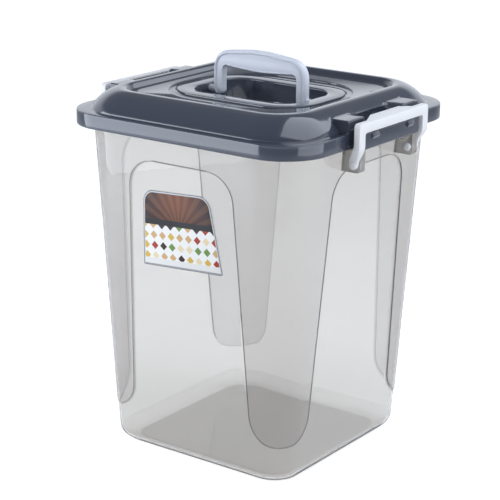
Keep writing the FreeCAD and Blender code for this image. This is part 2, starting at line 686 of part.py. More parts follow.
for item in doc.Objects:
    if "Invalid" in item.State or "Error" in item.State:
        raise RuntimeError(f"{item.Name} did not build: {item.State}")
os.makedirs("parts", exist_ok=True)
for node, piece in pieces.items():
    piece.Label = node
    solid = piece.Shape
    if solid.isNull() or not solid.isValid():
        raise RuntimeError(f"{node} has no valid shape")
    solid.exportStep(f"parts/{node}.step")
    print(node, "solids", len(solid.Solids), "volume", round(solid.Volume), "box", solid.BoundBox)
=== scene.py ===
"""Looks of a tall square see-through kitchen storage container with a clip-on lid.

Shapes are worked out in millimetres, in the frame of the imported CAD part: X runs along the labelled
front, -Y comes out of it and Z is up. mesh_piece turns them into metres.
"""

import math

import bmesh
import bpy
import numpy as np
from mathutils import Matrix, Vector


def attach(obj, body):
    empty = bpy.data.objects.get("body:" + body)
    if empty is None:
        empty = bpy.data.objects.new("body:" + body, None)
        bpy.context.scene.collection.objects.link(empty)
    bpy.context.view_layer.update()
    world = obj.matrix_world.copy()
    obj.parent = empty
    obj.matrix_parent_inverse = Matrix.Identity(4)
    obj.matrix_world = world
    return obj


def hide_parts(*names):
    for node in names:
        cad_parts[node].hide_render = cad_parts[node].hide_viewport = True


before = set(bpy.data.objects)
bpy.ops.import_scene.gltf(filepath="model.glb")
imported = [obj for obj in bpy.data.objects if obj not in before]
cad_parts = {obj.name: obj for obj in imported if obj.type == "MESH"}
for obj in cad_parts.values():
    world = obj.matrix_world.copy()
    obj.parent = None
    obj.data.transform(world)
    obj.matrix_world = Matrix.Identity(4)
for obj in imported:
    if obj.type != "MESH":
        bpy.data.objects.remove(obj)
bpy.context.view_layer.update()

# Tub: half widths and corner radii grow evenly from the base to the rim.
TUB_HEIGHT = 358.2
TUB_BASE_HALF = 112.8
TUB_RIM_HALF = 137.15
TUB_BASE_CORNER = 27.0
TUB_RIM_CORNER = 55.0
TUB_WALL = 2.0
TUB_FLOOR = 2.6
BASE_ROUND = 15.0
INNER_BASE_ROUND = 13.0
RIM_REACH = 7.0
RIM_THICKNESS = 2.8
RIM_BEVEL = 0.5
RELIEF = 1.1
STEP_WIDTH = 1.0
LINE_WIDTH = 0.9
# Height below which the raised corners get their full painted shade; above it the painted shade lightens towards the
# arch's top.
FADE_START = 170.0
ARCH_TOP = 321.0
ARCH_TOP_HALF = 62.6
ARCH_FOOT_HALF = 75.6
ARCH_ROUND = 30.0
TONGUE_FOOT = 43.0
TONGUE_ROUND = 30.0
# Share of a corner's radius by which the corner's middle lies inside the half width.
CORNER_CUT = 1 - math.sqrt(0.5)
# Levels of painted shade on the tub's plastic, from none on the panels to the darkest, a painted dark line.
PANEL_TONE = 0.0
COLLAR_TONE = 0.25
CORNER_TONE = 0.5
SLOPE_TONE = 0.75
LINE_TONE = 1.0
# Columns of half a front, and rows of the foot's bend.
HALF_COLUMNS = 30
FOOT_ROWS = 9
# Columns of a lid corner, and of a lid side without a latch.
CORNER_COLUMNS = 20
END_COLUMNS = 25
# Lid levels and half widths.
LID_TOP = 360.6
LID_HALF = 147.3
LID_CORNER = 48.6
LID_WALL = 2.2
BROW_ROUND = 1.1
SKIRT_FOOT = 345.6
DOME_HALF = 138.5
DOME_CORNER = 55.5
DOME_RUN = 26.0
DOME_HEIGHT = 20.4
DOME_BEND_OUT = 1.3
DOME_BEND_UP = 1.5
CROWN_HALF = DOME_HALF - DOME_RUN
CROWN_CORNER = 35.0
CROWN_TOP = LID_TOP + DOME_HEIGHT
DECK_TOP = 375.0
DECK_HALF = 104.5
DECK_CORNER = 30.1
DECK_ROUND = 0.7
CUP_HALF = 110.2
CUP_TOP = DECK_TOP - 3.8
PIT_FLOOR = 352.0
# Latch seats and latches.
BOSS_HALF = 63.6
BOSS_TOP = 374.0
BOSS_REACH = 1.2
SEAT_HALF = 69.0
SCOOP_HALF = 37.0
SCOOP_RUN = 9.0
SCOOP_BACK = 130.0
SCOOP_FLOOR = 362.2
APRON_HALF = 50.5
APRON_FOOT = 344.4
APRON_TOP = 361.5
APRON_BACK = 144.0
APRON_SET_BACK = 2.4
APRON_ROUND = 2.4
NUB_PLACE = 32.5
NUB_HALF = 6.0
LATCH_FRONT = 161.5
LEG_INNER = 53.1
PIVOT_X = 150.2
PIVOT_Z = 330.0
CATCH_RADIUS = 33.97
CATCH_PLAY = 0.05
LEG_END = 4.3
LEG_TAPER = 6.2
BAR_TOP = 372.3
TAB_END = 42.0
TAB_SLOPE = 17.0
TAB_REACH = 7.0
# Handle.
HANDLE_PIVOT = 370.0
HANDLE_HALF = 58.5
HANDLE_INNER = 46.1
HANDLE_TOP = 416.6
HANDLE_LEG_TOP = 390.0
HANDLE_ROUND = 4.6
# Label.
LABEL_HEIGHT = 79.5
LABEL_FOOT_HALF = 50.0
LABEL_TOP_HALF = 41.1
LABEL_PLACE = 213.3
LABEL_SHIFT = -1.75
LABEL_ASKEW = 3.6
SHEET_BEVEL = 0.03
# Heights in the label's print, and the pitch of its lozenges.
GLOW_PLACE = 70.0
STRIP_TOP = 50.0
STRIP_FOOT = 44.0
RAY_ORIGIN = 40.0
FOOT_TOP = 8.5
LOZENGE_PITCH = 11.0

FRONT = np.array([[1, 0, 0], [0, 0, 1], [0, -1, 0]], float)
SIDE = np.array([[0, 1, 0], [0, 0, 1], [1, 0, 0]], float)


def linear(code):
    """Linear colour with alpha 1 from an sRGB hex code."""
    parts = np.array([int(code[place:place + 2], 16) for place in (1, 3, 5)]) / 255
    parts = np.where(parts <= 0.04045, parts / 12.92, ((parts + 0.055) / 1.055) ** 2.4)
    return (*parts.tolist(), 1.0)


def add(tree, kind, settings=None, inputs=None):
    """New node; an input is a value, or a socket of another node to link from."""
    node = tree.nodes.new(kind)
    for name, value in (settings or {}).items():
        setattr(node, name, value)
    for name, value in (inputs or {}).items():
        if isinstance(value, bpy.types.NodeSocket):
            tree.links.new(value, node.inputs[name])
        else:
            node.inputs[name].default_value = value
    return node


def plastic(name, inputs):
    """Material with one Principled shader and its output; returns the tree and the shader."""
    material = bpy.data.materials.new(name)
    material.use_nodes = True
    tree = material.node_tree
    tree.nodes.clear()
    shader = add(tree, "ShaderNodeBsdfPrincipled", inputs=inputs)
    add(tree, "ShaderNodeOutputMaterial", inputs={"Surface": shader.outputs["BSDF"]})
    return material, tree, shader


def place_of(tree, turn=(0, 0, 0), shift=(0, 0, 0)):
    """Position on a piece in millimetres, from its Object coordinates, turned and then shifted."""
    coordinates = add(tree, "ShaderNodeTexCoord")
    return add(tree, "ShaderNodeMapping", inputs={
        "Vector": coordinates.outputs["Object"], "Scale": (1000, 1000, 1000), "Rotation": turn, "Location": shift,
    }).outputs["Vector"]


def moulded(tree, shader, grain, ripple, rough, strength=0.06):
    """Skin of moulded plastic: a fine grain and a slow ripple in the height, and uneven gloss.

    grain and ripple are sizes in millimetres, rough the lowest and highest roughness."""
    place = place_of(tree)
    fine = add(tree, "ShaderNodeTexNoise", inputs={"Vector": place, "Scale": 1 / grain, "Detail": 3.0})
    slow = add(tree, "ShaderNodeTexNoise", inputs={"Vector": place, "Scale": 1 / ripple, "Detail": 1.0})
    gloss = add(tree, "ShaderNodeMapRange", inputs={
        "Value": slow.outputs["Fac"], "From Min": 0.3, "From Max": 0.7, "To Min": rough[0], "To Max": rough[1],
    })
    height = add(tree, "ShaderNodeMath", {"operation": "MULTIPLY_ADD"}, {
        0: fine.outputs["Fac"], 1: 0.05, 2: slow.outputs["Fac"],
    })
    bump = add(tree, "ShaderNodeBump", inputs={
        "Strength": strength, "Distance": 0.0006, "Height": height.outputs["Value"],
    })
    tree.links.new(gloss.outputs["Result"], shader.inputs["Roughness"])
    tree.links.new(bump.outputs["Normal"], shader.inputs["Normal"])


def grid_quads(rows, columns, wrap):
    """Corner numbers of the quads of a grid; with wrap the last column meets the first."""
    number = np.arange(rows * columns).reshape(rows, columns)
    if wrap:
        number = np.hstack([number, number[:, :1]])
    corners = [number[:-1, :-1], number[:-1, 1:], number[1:, 1:], number[1:, :-1]]
    return np.stack(corners, axis=-1).reshape(-1, 4)


def mesh_piece(name, grids, material, body, node=None, sharp=35.0, painted_shades=()):
    """Object from grids of points, each (points, wrap, capped, flipped), welded where they meet.

    Points are rows by columns by three, in millimetres. A capped grid's first and last rows are closed
    by flat faces. Edges sharper than the given angle in degrees stay crisp. The last argument holds a level of
    painted shade for each face of the grids, kept in a face attribute."""
    points, faces, start = [], [], 0
    for grid, wrap, capped, flipped in grids:
        rows, columns = grid.shape[:2]
        quads = grid_quads(rows, columns, wrap) + start
        faces += (quads[:, ::-1] if flipped else quads).tolist()
        if capped:
            first = np.arange(columns) + start
            last = first + (rows - 1) * columns
            faces += [first.tolist(), last[::-1].tolist()] if flipped else [first[::-1].tolist(), last.tolist()]
        points.append(grid.reshape(-1, 3))
        start += rows * columns
    mesh = bpy.data.meshes.new(name)
    mesh.from_pydata(np.concatenate(points) / 1000, [], faces)
    if len(painted_shades):
        mesh.attributes.new("painted_shade", "FLOAT", "FACE").data.foreach_set("value", np.asarray(painted_shades, np.float32))
    shape = bmesh.new()
    shape.from_mesh(mesh)
    bmesh.ops.remove_doubles(shape, verts=shape.verts, dist=2e-6)
    bmesh.ops.dissolve_degenerate(shape, edges=shape.edges, dist=1e-7)
    shape.to_mesh(mesh)
    shape.free()
    mesh.shade_smooth()
    mesh.set_sharp_from_angle(angle=math.radians(sharp))
    mesh.materials.append(material)
    piece = bpy.data.objects.new(name, mesh)
    bpy.context.scene.collection.objects.link(piece)
    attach(piece, body)
    if node:
        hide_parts(node)


def turned(grid, degrees):
    """Grid turned about the Z axis."""
    angle = math.radians(degrees)
    turn = np.array([[math.cos(angle), math.sin(angle), 0], [-math.sin(angle), math.cos(angle), 0], [0, 0, 1]])
    return grid @ turn


def arc(centre, radius, first, last, steps):
    """Points of a circle's arc between two angles in degrees."""
    angle = np.radians(np.linspace(first, last, steps))
    return np.stack([centre[0] + radius * np.cos(angle), centre[1] + radius * np.sin(angle)], axis=-1)


def rounded_outline(corners, steps=7):
    """Closed outline through corners (x, y, radius), each replaced by the arc that touches both its sides."""
    spots = np.array([corner[:2] for corner in corners], float)
    radii = np.array([corner[2] for corner in corners], float)[:, None]
    back = np.roll(spots, 1, axis=0) - spots
    ahead = np.roll(spots, -1, axis=0) - spots
    back /= np.linalg.norm(back, axis=1, keepdims=True)
    ahead /= np.linalg.norm(ahead, axis=1, keepdims=True)
    half = np.arccos(np.clip((back * ahead).sum(1, keepdims=True), -1, 1)) / 2
    middle = back + ahead
    middle /= np.linalg.norm(middle, axis=1, keepdims=True)
    centre = spots + middle * radii / np.sin(half)
    first = spots + back * radii / np.tan(half) - centre
    last = spots + ahead * radii / np.tan(half) - centre
    share = np.linspace(0, 1, steps)[None, :, None]
    swing = (math.pi - 2 * half)[:, None]
    weight = np.sin((1 - share) * swing), np.sin(share * swing)
    spread = (first[:, None] * weight[0] + last[:, None] * weight[1]) / np.sin(swing)
    return (centre[:, None] + spread).reshape(-1, 2)


def inset(outline, distance):
    """Closed counter-clockwise outline moved inwards along its normals."""
    along = np.roll(outline, -1, axis=0) - np.roll(outline, 1, axis=0)
    along /= np.maximum(np.linalg.norm(along, axis=1, keepdims=True), 1e-9)
    return outline + distance * np.stack([-along[:, 1], along[:, 0]], axis=-1)


def slab(outline, low, high, bevel, axes):
    """Outline carried along the third of three axes, with quarter-round edges at both ends."""
    angle = np.radians([0, 22.5, 45, 67.5, 90])
    levels = np.concatenate([low + bevel * (1 - np.cos(angle)), high - bevel * (1 - np.cos(angle[::-1]))])
    insets = np.concatenate([bevel * (1 - np.sin(angle)), bevel * (1 - np.sin(angle[::-1]))])
    rows = np.stack([inset(outline, distance) for distance in insets])
    local = np.concatenate([rows, np.broadcast_to(levels[:, None, None], rows.shape[:2] + (1,))], axis=-1)
    return local @ axes


def solid(grid):
    """Closed run of rings with a flat face at each end, as mesh_piece takes it."""
    return (grid, True, True, False)


def both_sides(grid):
    """A solid on the right and the same half a turn round, on the left."""
    return [solid(grid), solid(turned(grid, 180))]


def mirrored_on(line):
    """Line from the left to the middle, carried on by its mirror image."""
    return np.concatenate([line, line[-2::-1] * np.array([-1.0, 1.0])])


def spun(profile, centre, axis_turn, steps=32):
    """Profile of (radius, distance along the axis) spun round an axis through a centre."""
    angle = np.linspace(0, 2 * math.pi, steps, endpoint=False)
    radius, reach = profile[:, :1], profile[:, 1:]
    local = np.stack([radius * np.cos(angle), radius * np.sin(angle), reach + 0 * angle], axis=-1)
    return local @ axis_turn + np.array(centre)


def stack(rings, columns):
    """Rounded rectangles one above or inside another; a ring is (half x, half y, corner radius, height)."""
    rings = np.array(rings, float)
    half_x, half_y, corner, height = (rings[:, place, None] for place in range(4))
    x = (half_x - corner) * columns[:, 0] + corner * columns[:, 2]
    y = (half_y - corner) * columns[:, 1] + corner * columns[:, 3]
    return np.stack([x, y, height + 0 * x], axis=-1)


# Tub


def tub_section(height, depth):
    """Half width and corner radius of the raised collar and corners at a height, moved in by a depth."""
    half = TUB_BASE_HALF + (TUB_RIM_HALF - TUB_BASE_HALF) * height / TUB_HEIGHT
    corner = TUB_BASE_CORNER + (TUB_RIM_CORNER - TUB_BASE_CORNER) * height / TUB_HEIGHT
    return half - depth, corner - depth


def rounded_front(x, height, half, corner):
    """Points at places across a rounded square's front: straight, and past a corner's start a circle's arc."""
    past = np.clip((np.abs(x) - (half - corner)) / corner, 0, 1)
    y = -(half - corner) - corner * np.sqrt(1 - past ** 2)
    return np.stack([x, y, height + 0 * x], axis=-1)


def front_surface(x, height, depth):
    """Points of the tub's front and its two half corners, at places across the front, moved in by a depth."""
    return rounded_front(x, height, *tub_section(height, depth))


def corner_surface(reach, height, depth):
    """Points round the corner between front and right side, at reaches along the wall from its middle."""
    half, corner = tub_section(height, depth)
    flat = half - corner
    angle = np.clip(reach / corner, -math.pi / 4, math.pi / 4) + math.pi / 4
    spare = reach - corner * (angle - math.pi / 4)
    x = flat + corner * np.sin(angle) + np.minimum(spare, 0)
    y = -flat - corner * np.cos(angle) + np.maximum(spare, 0)
    return np.stack([x, y, height], axis=-1)


def arch_edge(spread):
    """Half of the arch's edge, from the tongue's tip up to its top corner, moved into the arch by a spread.

    It is a nearly level tip, a flare arc round the tongue's foot, a leaning side and a corner arc. The tip runs
    past the middle of the tub's corner and is cut off there."""
    lean = math.atan2(ARCH_FOOT_HALF - ARCH_TOP_HALF, ARCH_TOP - TONGUE_FOOT)
    reach = math.tan((math.pi / 2 - lean) / 2)
    flare_centre = (ARCH_FOOT_HALF + TONGUE_ROUND * reach, TONGUE_FOOT + TONGUE_ROUND)
    round_centre = (ARCH_TOP_HALF - ARCH_ROUND * reach, ARCH_TOP - ARCH_ROUND)
    lean_degrees = math.degrees(lean)
    flare = arc(flare_centre, TONGUE_ROUND + spread, 270, 180 + lean_degrees, 40)
    top = arc(round_centre, ARCH_ROUND - spread, lean_degrees, 90, 16)
    share = np.linspace(0, 1, 14)[1:-1, None]
    side = flare[-1:] * (1 - share) + top[:1] * share
    tip = flare[:1] + np.array([[TONGUE_ROUND, -0.4]])
    return np.concatenate([tip, flare, side, top])


def corner_middle(height, depth):
    """Place across the front at which the middle of a corner lies, at a height, moved in by a depth."""
    half, corner = tub_section(height, depth)
    return half - corner * CORNER_CUT


def edge_reach(x, height, depth):
    """Distance along the wall from the corner's middle to a place across the front."""
    half, corner = tub_section(height, depth)
    flat = half - corner
    angle = np.arcsin(np.clip((x - flat) / corner, 0, 1))
    return corner * (math.pi / 4 - angle) + np.maximum(flat - x, 0)


def tub_skin(depth, floor):
    """One skin of the tub's wall: sunk arch fronts that run down into the foot and base, raised corners
    and collar, and the narrow slopes between them. depth moves it in, floor lifts its base.

    Every row is part of a rounded square at its height, cut off at the arch's edge or at a corner's middle, and
    the foot's rows are pulled in along a quarter circle. Returns the grids, a level of painted shade for each face
    and a quarter of the top edge. The strip along the outer skin's raised edge gets the darkest painted shade and
    shows as a painted dark line."""
    edge, foot = arch_edge(0.0), arch_edge(STEP_WIDTH)
    high_x = np.minimum(edge[:, 0], corner_middle(edge[:, 1], depth))
    low_x = np.minimum(foot[:, 0], corner_middle(foot[:, 1], depth + RELIEF))
    share = np.linspace(-1, 1, 2 * HALF_COLUMNS + 1)
    panel = front_surface(low_x[::-1, None] * share, foot[::-1, 1, None], depth + RELIEF)

    base_round = INNER_BASE_ROUND if floor else BASE_ROUND
    bend = np.radians(np.linspace(10, 90, FOOT_ROWS))
    straight = np.linspace(foot[0, 1], floor + base_round, 8)
    heights = np.concatenate([straight, floor + base_round * (1 - np.sin(bend))])
    pulls = np.concatenate([0 * straight, base_round * (1 - np.cos(bend))])
    half, corner = tub_section(heights[:, None], depth + RELIEF)
    half = half - pulls[:, None]
    below = rounded_front((half - corner * CORNER_CUT) * share, heights[:, None], half, corner)
    middle_row = below[-1:] * np.array([0.0, 0.0, 1.0])
    front = np.concatenate([panel, below[1:], middle_row])

    reach = edge_reach(high_x, edge[:, 1], depth)[:, None]
    within = np.maximum(reach - LINE_WIDTH, 0.0) * np.linspace(-1, 1, 2 * HALF_COLUMNS - 1)
    reaches = np.concatenate([-reach, within, reach], axis=1)
    raised = corner_surface(reaches, edge[:, 1:] + 0 * reaches, depth)

    top = TUB_HEIGHT if floor else TUB_HEIGHT - RIM_THICKNESS
    collar_heights = np.append([ARCH_TOP, ARCH_TOP + LINE_WIDTH], np.linspace(ARCH_TOP, top, 8)[1:])[:, None]
    full = edge_reach(0.0, collar_heights, depth)
    top_share = share[HALF_COLUMNS:-1][::-1]
    beyond = reach[-1] + (full[0] - reach[-1]) * (1 - top_share)
    collar_reaches = np.concatenate([-beyond[::-1], reaches[-1], beyond]) * full / full[0]
    collar = corner_surface(collar_reaches, collar_heights + 0 * collar_reaches, depth)

    top_edge = np.stack([edge[-1, 0] * top_share, np.full(HALF_COLUMNS, edge[-1, 1])], axis=-1)
    top_foot = np.stack([foot[-1, 0] * top_share, np.full(HALF_COLUMNS, foot[-1, 1])], axis=-1)
    upper = np.concatenate([np.stack([high_x, edge[:, 1]], axis=-1), top_edge])
    lower = np.concatenate([np.stack([low_x, foot[:, 1]], axis=-1), top_foot])
    high_side = front_surface(upper[:, 0], upper[:, 1], depth)
    low_side = front_surface(lower[:, 0], lower[:, 1], depth + RELIEF)
    slope = np.stack([low_side, high_side], axis=1)
    mirrored = slope * np.array([-1.0, 1.0, 1.0])
    flipped = floor > 0
    grids = []
    for quarter in (0, 90, 180, 270):
        grids += [
            (turned(front[::-1], quarter), False, False, flipped),
            (turned(raised, quarter), False, False, flipped),
            (turned(collar, quarter), False, False, flipped),
            (turned(slope, quarter), False, False, flipped),
            (turned(mirrored, quarter), False, False, not flipped),
        ]
    # Painted shade, not a change in the plastic: darker levels on the slopes, base, collar and raised corners, and
    # the darkest as a painted dark line along the outer skin's raised edges; the inner skin's edges get the corners'
    # level.
    line = CORNER_TONE if flipped else LINE_TONE
    front_tone = np.full((len(front) - 1, 2 * HALF_COLUMNS), PANEL_TONE)
    front_tone[0] = SLOPE_TONE
    front_tone[1:1 + FOOT_ROWS] = COLLAR_TONE
    # Painted shade on the raised corners, lightening from FADE_START up to the arch's top.
    fade = np.interp(edge[:-1, 1], [FADE_START, ARCH_TOP], [CORNER_TONE, COLLAR_TONE])
    raised_tone = np.repeat(fade[:, None], 2 * HALF_COLUMNS, axis=1)
    raised_tone[:, [0, -1]] = line
    collar_tone = np.full((len(collar) - 1, 4 * HALF_COLUMNS), COLLAR_TONE)
    collar_tone[0, :HALF_COLUMNS] = collar_tone[0, -HALF_COLUMNS:] = line
    slope_tone = np.full(2 * (len(slope) - 1), SLOPE_TONE)
    one_side = [front_tone.ravel(), raised_tone.ravel(), collar_tone.ravel(), slope_tone]
    return grids, np.tile(np.concatenate(one_side), 4), collar[-1]


def tub_rim(outer_edge, inner_edge):
    """Flange round the tub's mouth: from the outer skin's top edge out along its normals, up, and back to the inner
    skin's top edge. Both edges are a quarter of the way round. Returns the grids and a level of painted shade for
    each face, the corners' level."""
    along = np.gradient(outer_edge, axis=0)
    along /= np.linalg.norm(along, axis=1, keepdims=True)
    out = np.stack([along[:, 1], -along[:, 0], 0 * along[:, 0]], axis=-1)
    near = RIM_REACH - RIM_BEVEL
    steps = ((near, 0), (RIM_REACH, RIM_BEVEL), (RIM_REACH, RIM_THICKNESS - RIM_BEVEL), (near, RIM_THICKNESS))
    rows = [outer_edge + reach * out + np.array([0, 0, rise]) for reach, rise in steps]
    quarter = np.stack([outer_edge] + rows + [inner_edge])
    grids = [(turned(quarter, degrees), False, False, False) for degrees in (0, 90, 180, 270)]
    return grids, np.full(4 * (len(quarter) - 1) * (len(outer_edge) - 1), CORNER_TONE)


def lugs():
    """Four lugs on the tub's sides that hold the latch pins, with round lower noses."""
    outline = rounded_outline([
        (134.0, 321.5, 0.6), (156.0, 321.5, 4.0), (156.0, 344.0, 0.8), (135.2, 344.0, 0.6),
    ])
    grids = []
    for low, high in ((43.6, 52.8), (-52.8, -43.6)):
        grids += both_sides(slab(outline, low, high, 0.7, FRONT))
    return grids


# Lid


def lid_columns():
    """Columns of the lid's rings, with the places across each latch seat that its walls need.

    Returns the columns, the fixed Y of those places, and how far each is part of the boss and the scoop."""
    scoop_run = np.linspace(0, 1, 9)
    ease = scoop_run ** 2 * (3 - 2 * scoop_run)
    seat = [(-SEAT_HALF, 0.0, 0.0), (-BOSS_HALF - 0.05, 0.0, 0.0), (-BOSS_HALF, 0.93, 0.0),
            (-BOSS_HALF + 0.9, 1.0, 0.0), (-56.0, 1.0, 0.0), (-48.0, 1.0, 0.0), (-42.0, 1.0, 0.0)]
    seat += [(SCOOP_RUN * run - SCOOP_HALF, 1.0, share) for run, share in zip(scoop_run.tolist(), ease.tolist())]
    seat += [(-20.0, 1.0, 1.0), (-10.0, 1.0, 1.0)]
    seat += [(0.0, 1.0, 1.0)] + [(-y, boss, scoop) for y, boss, scoop in seat[::-1]]
    seat = np.array(seat)
    count = len(seat)
    blank = np.full(1, np.nan)
    angle = np.linspace(0, math.pi / 2, CORNER_COLUMNS + 2)[1:-1]
    share = np.linspace(-1, 1, END_COLUMNS)
    corner_ones, end_ones = np.ones(CORNER_COLUMNS), np.ones(END_COLUMNS)
    quarter = np.concatenate([
        np.stack([np.ones(count + 2), np.concatenate([[-1], np.zeros(count), [1]]),
                  np.ones(count + 2), np.zeros(count + 2)], axis=-1),
        np.stack([corner_ones, corner_ones, np.cos(angle), np.sin(angle)], axis=-1),
        np.stack([-share, end_ones, 0 * end_ones, end_ones], axis=-1),
        np.stack([-corner_ones, corner_ones, -np.sin(angle), np.cos(angle)], axis=-1),
    ])
    columns = np.concatenate([quarter, -quarter])
    rest = np.full(2 * CORNER_COLUMNS + END_COLUMNS, np.nan)
    fixed = np.concatenate([blank, seat[:, 0], blank, rest])
    fixed = np.concatenate([fixed, -fixed])
    weights = np.zeros((len(quarter), 2))
    weights[1:count + 1] = seat[:, 1:]
    return columns, fixed, np.concatenate([weights, weights])


def square(half, corner, height):
    """Ring of a rounded square."""
    return (half, half, corner, height)


def dome_turn(angles):
    """Pairs of outward and upward shares of the dome's quarter curve: cosine and sine to powers above 1, flatter
    than an ellipse."""
    return zip((np.cos(angles).clip(0) ** DOME_BEND_OUT).tolist(), (np.sin(angles) ** DOME_BEND_UP).tolist())


def lid_shell():
    """The whole lid as one run of rings: cup, underside, skirt, flange, dome, crown and deck edge.

    In each latch seat the rings are lifted to the boss and pushed back and down into the finger scoop."""
    columns, fixed, weights = lid_columns()
    turn = np.radians(np.linspace(0, 90, 9))
    inner_spread = DOME_CORNER - LID_WALL - CROWN_CORNER
    inner = [square(CROWN_HALF + (DOME_RUN - LID_WALL) * c, CROWN_CORNER + inner_spread * c,
                    LID_TOP + (DOME_HEIGHT - LID_WALL) * s) for c, s in dome_turn(turn[::-1])]
    under = [square(CUP_HALF, CROWN_CORNER, CUP_TOP)] + inner + [
        square(DOME_HALF - LID_WALL, DOME_CORNER - LID_WALL, TUB_HEIGHT),
        square(LID_HALF - LID_WALL, LID_CORNER - LID_WALL, TUB_HEIGHT),
        square(LID_HALF - LID_WALL, LID_CORNER - LID_WALL, SKIRT_FOOT + 0.5),
        square(LID_HALF - LID_WALL + 0.4, LID_CORNER - 1.8, SKIRT_FOOT + 0.05),
    ]
    skirt = [
        square(LID_HALF - 0.7, LID_CORNER - 0.7, SKIRT_FOOT),
        square(LID_HALF - 0.2, LID_CORNER - 0.2, SKIRT_FOOT + 0.2),
        square(LID_HALF, LID_CORNER, SKIRT_FOOT + 0.7),
        square(LID_HALF, LID_CORNER, SKIRT_FOOT + 7.0),
        square(LID_HALF, LID_CORNER, LID_TOP - BROW_ROUND),
    ]
    bend = np.radians((30, 60, 90))
    brow = [square(LID_HALF - pull, LID_CORNER - pull, LID_TOP - drop)
            for pull, drop in zip(BROW_ROUND * (1 - np.cos(bend)), BROW_ROUND * (1 - np.sin(bend)))]
    flange = [
        square(DOME_HALF + 3.0, DOME_CORNER + 1.0, LID_TOP),
        square(DOME_HALF + 0.9, DOME_CORNER + 0.6, LID_TOP),
    ]
    rise = np.radians(np.concatenate([[2.6], np.linspace(6, 90, 22)]))
    dome = [square(CROWN_HALF + DOME_RUN * c, CROWN_CORNER + (DOME_CORNER - CROWN_CORNER) * c,
                   LID_TOP + DOME_HEIGHT * s) for c, s in dome_turn(rise)]
    crown = [
        square(108.6, 34.2, CROWN_TOP - 0.05), square(107.7, 33.3, CROWN_TOP - 0.45),
        square(106.9, 32.5, CROWN_TOP - 1.2), square(106.2, 31.8, CROWN_TOP - 2.2),
        square(DECK_HALF + 0.4, DECK_CORNER + 0.4, DECK_TOP + 0.8), square(DECK_HALF, DECK_CORNER, DECK_TOP + 0.25),
        square(DECK_HALF - DECK_ROUND, DECK_CORNER - DECK_ROUND, DECK_TOP),
    ]
    groups = (under, skirt, brow, flange, dome, crown)
    kind = np.repeat(np.arange(len(groups)), [len(group) for group in groups])[:, None]
    in_under, in_skirt, in_brow, in_flange, in_dome = (kind == place for place in range(5))
    points = stack(sum(groups, []), columns)
    x, y, z = points[..., 0], points[..., 1], points[..., 2]
    y = np.where(np.isnan(fixed), y, np.nan_to_num(fixed))
    boss, scoop = weights[:, 0], weights[:, 1]
    held = boss > 0
    boss_level = LID_TOP + (BOSS_TOP - LID_TOP) * boss
    level = np.where(held, boss_level + (SCOOP_FLOOR - boss_level) * scoop, LID_TOP)
    out = np.abs(x)
    skirt_share = (z - SKIRT_FOOT) / (LID_TOP - BROW_ROUND - SKIRT_FOOT)
    new_z = np.where(in_skirt, SKIRT_FOOT + skirt_share * (level - BROW_ROUND - SKIRT_FOOT), z)
    new_z = np.where(in_brow | in_flange, z + level - LID_TOP, new_z)
    dome_boss = np.maximum(z, boss_level)
    dome_scoop = np.maximum(z, SCOOP_FLOOR)
    new_z = np.where(in_dome & held, dome_boss + (dome_scoop - dome_boss) * scoop, new_z)
    new_out = np.where((in_skirt | in_brow) & held, out + BOSS_REACH, out)
    pushed = out + (np.minimum(out, SCOOP_BACK) - out) * scoop
    new_out = np.where(in_dome & held, pushed, new_out)
    thinned = np.where(z > TUB_HEIGHT, np.minimum(out, SCOOP_BACK - LID_WALL), out)
    new_out = np.where(in_under & held, out + (thinned - out) * scoop, new_out)
    return np.stack([np.where(held, np.sign(x) * new_out, x), y, new_z], axis=-1)


def ray_rings(rings, edge):
    """Rounded rectangles met by rays from the middle through the points of an edge.

    A ring is (half x, half y, corner radius, height). A ray ends on a side, on an end, or on a corner's arc."""
    rings = np.array(rings, float)
    half_x, half_y, corner, height = (rings[:, place, None] for place in range(4))
    way = edge[:, :2] / np.linalg.norm(edge[:, :2], axis=1, keepdims=True)
    across, along = np.maximum(np.abs(way), 1e-9).T
    flat_x, flat_y = half_x - corner, half_y - corner
    middle = flat_x * across + flat_y * along
    on_corner = middle + np.sqrt(np.maximum(middle ** 2 - flat_x ** 2 - flat_y ** 2 + corner ** 2, 0))
    on_end = np.where(half_y / along * across <= flat_x, half_y / along, on_corner)
    reach = np.where(half_x / across * along <= flat_y, half_x / across, on_end)
    return np.stack([reach * way[:, 0], reach * way[:, 1], height + 0 * reach], axis=-1)


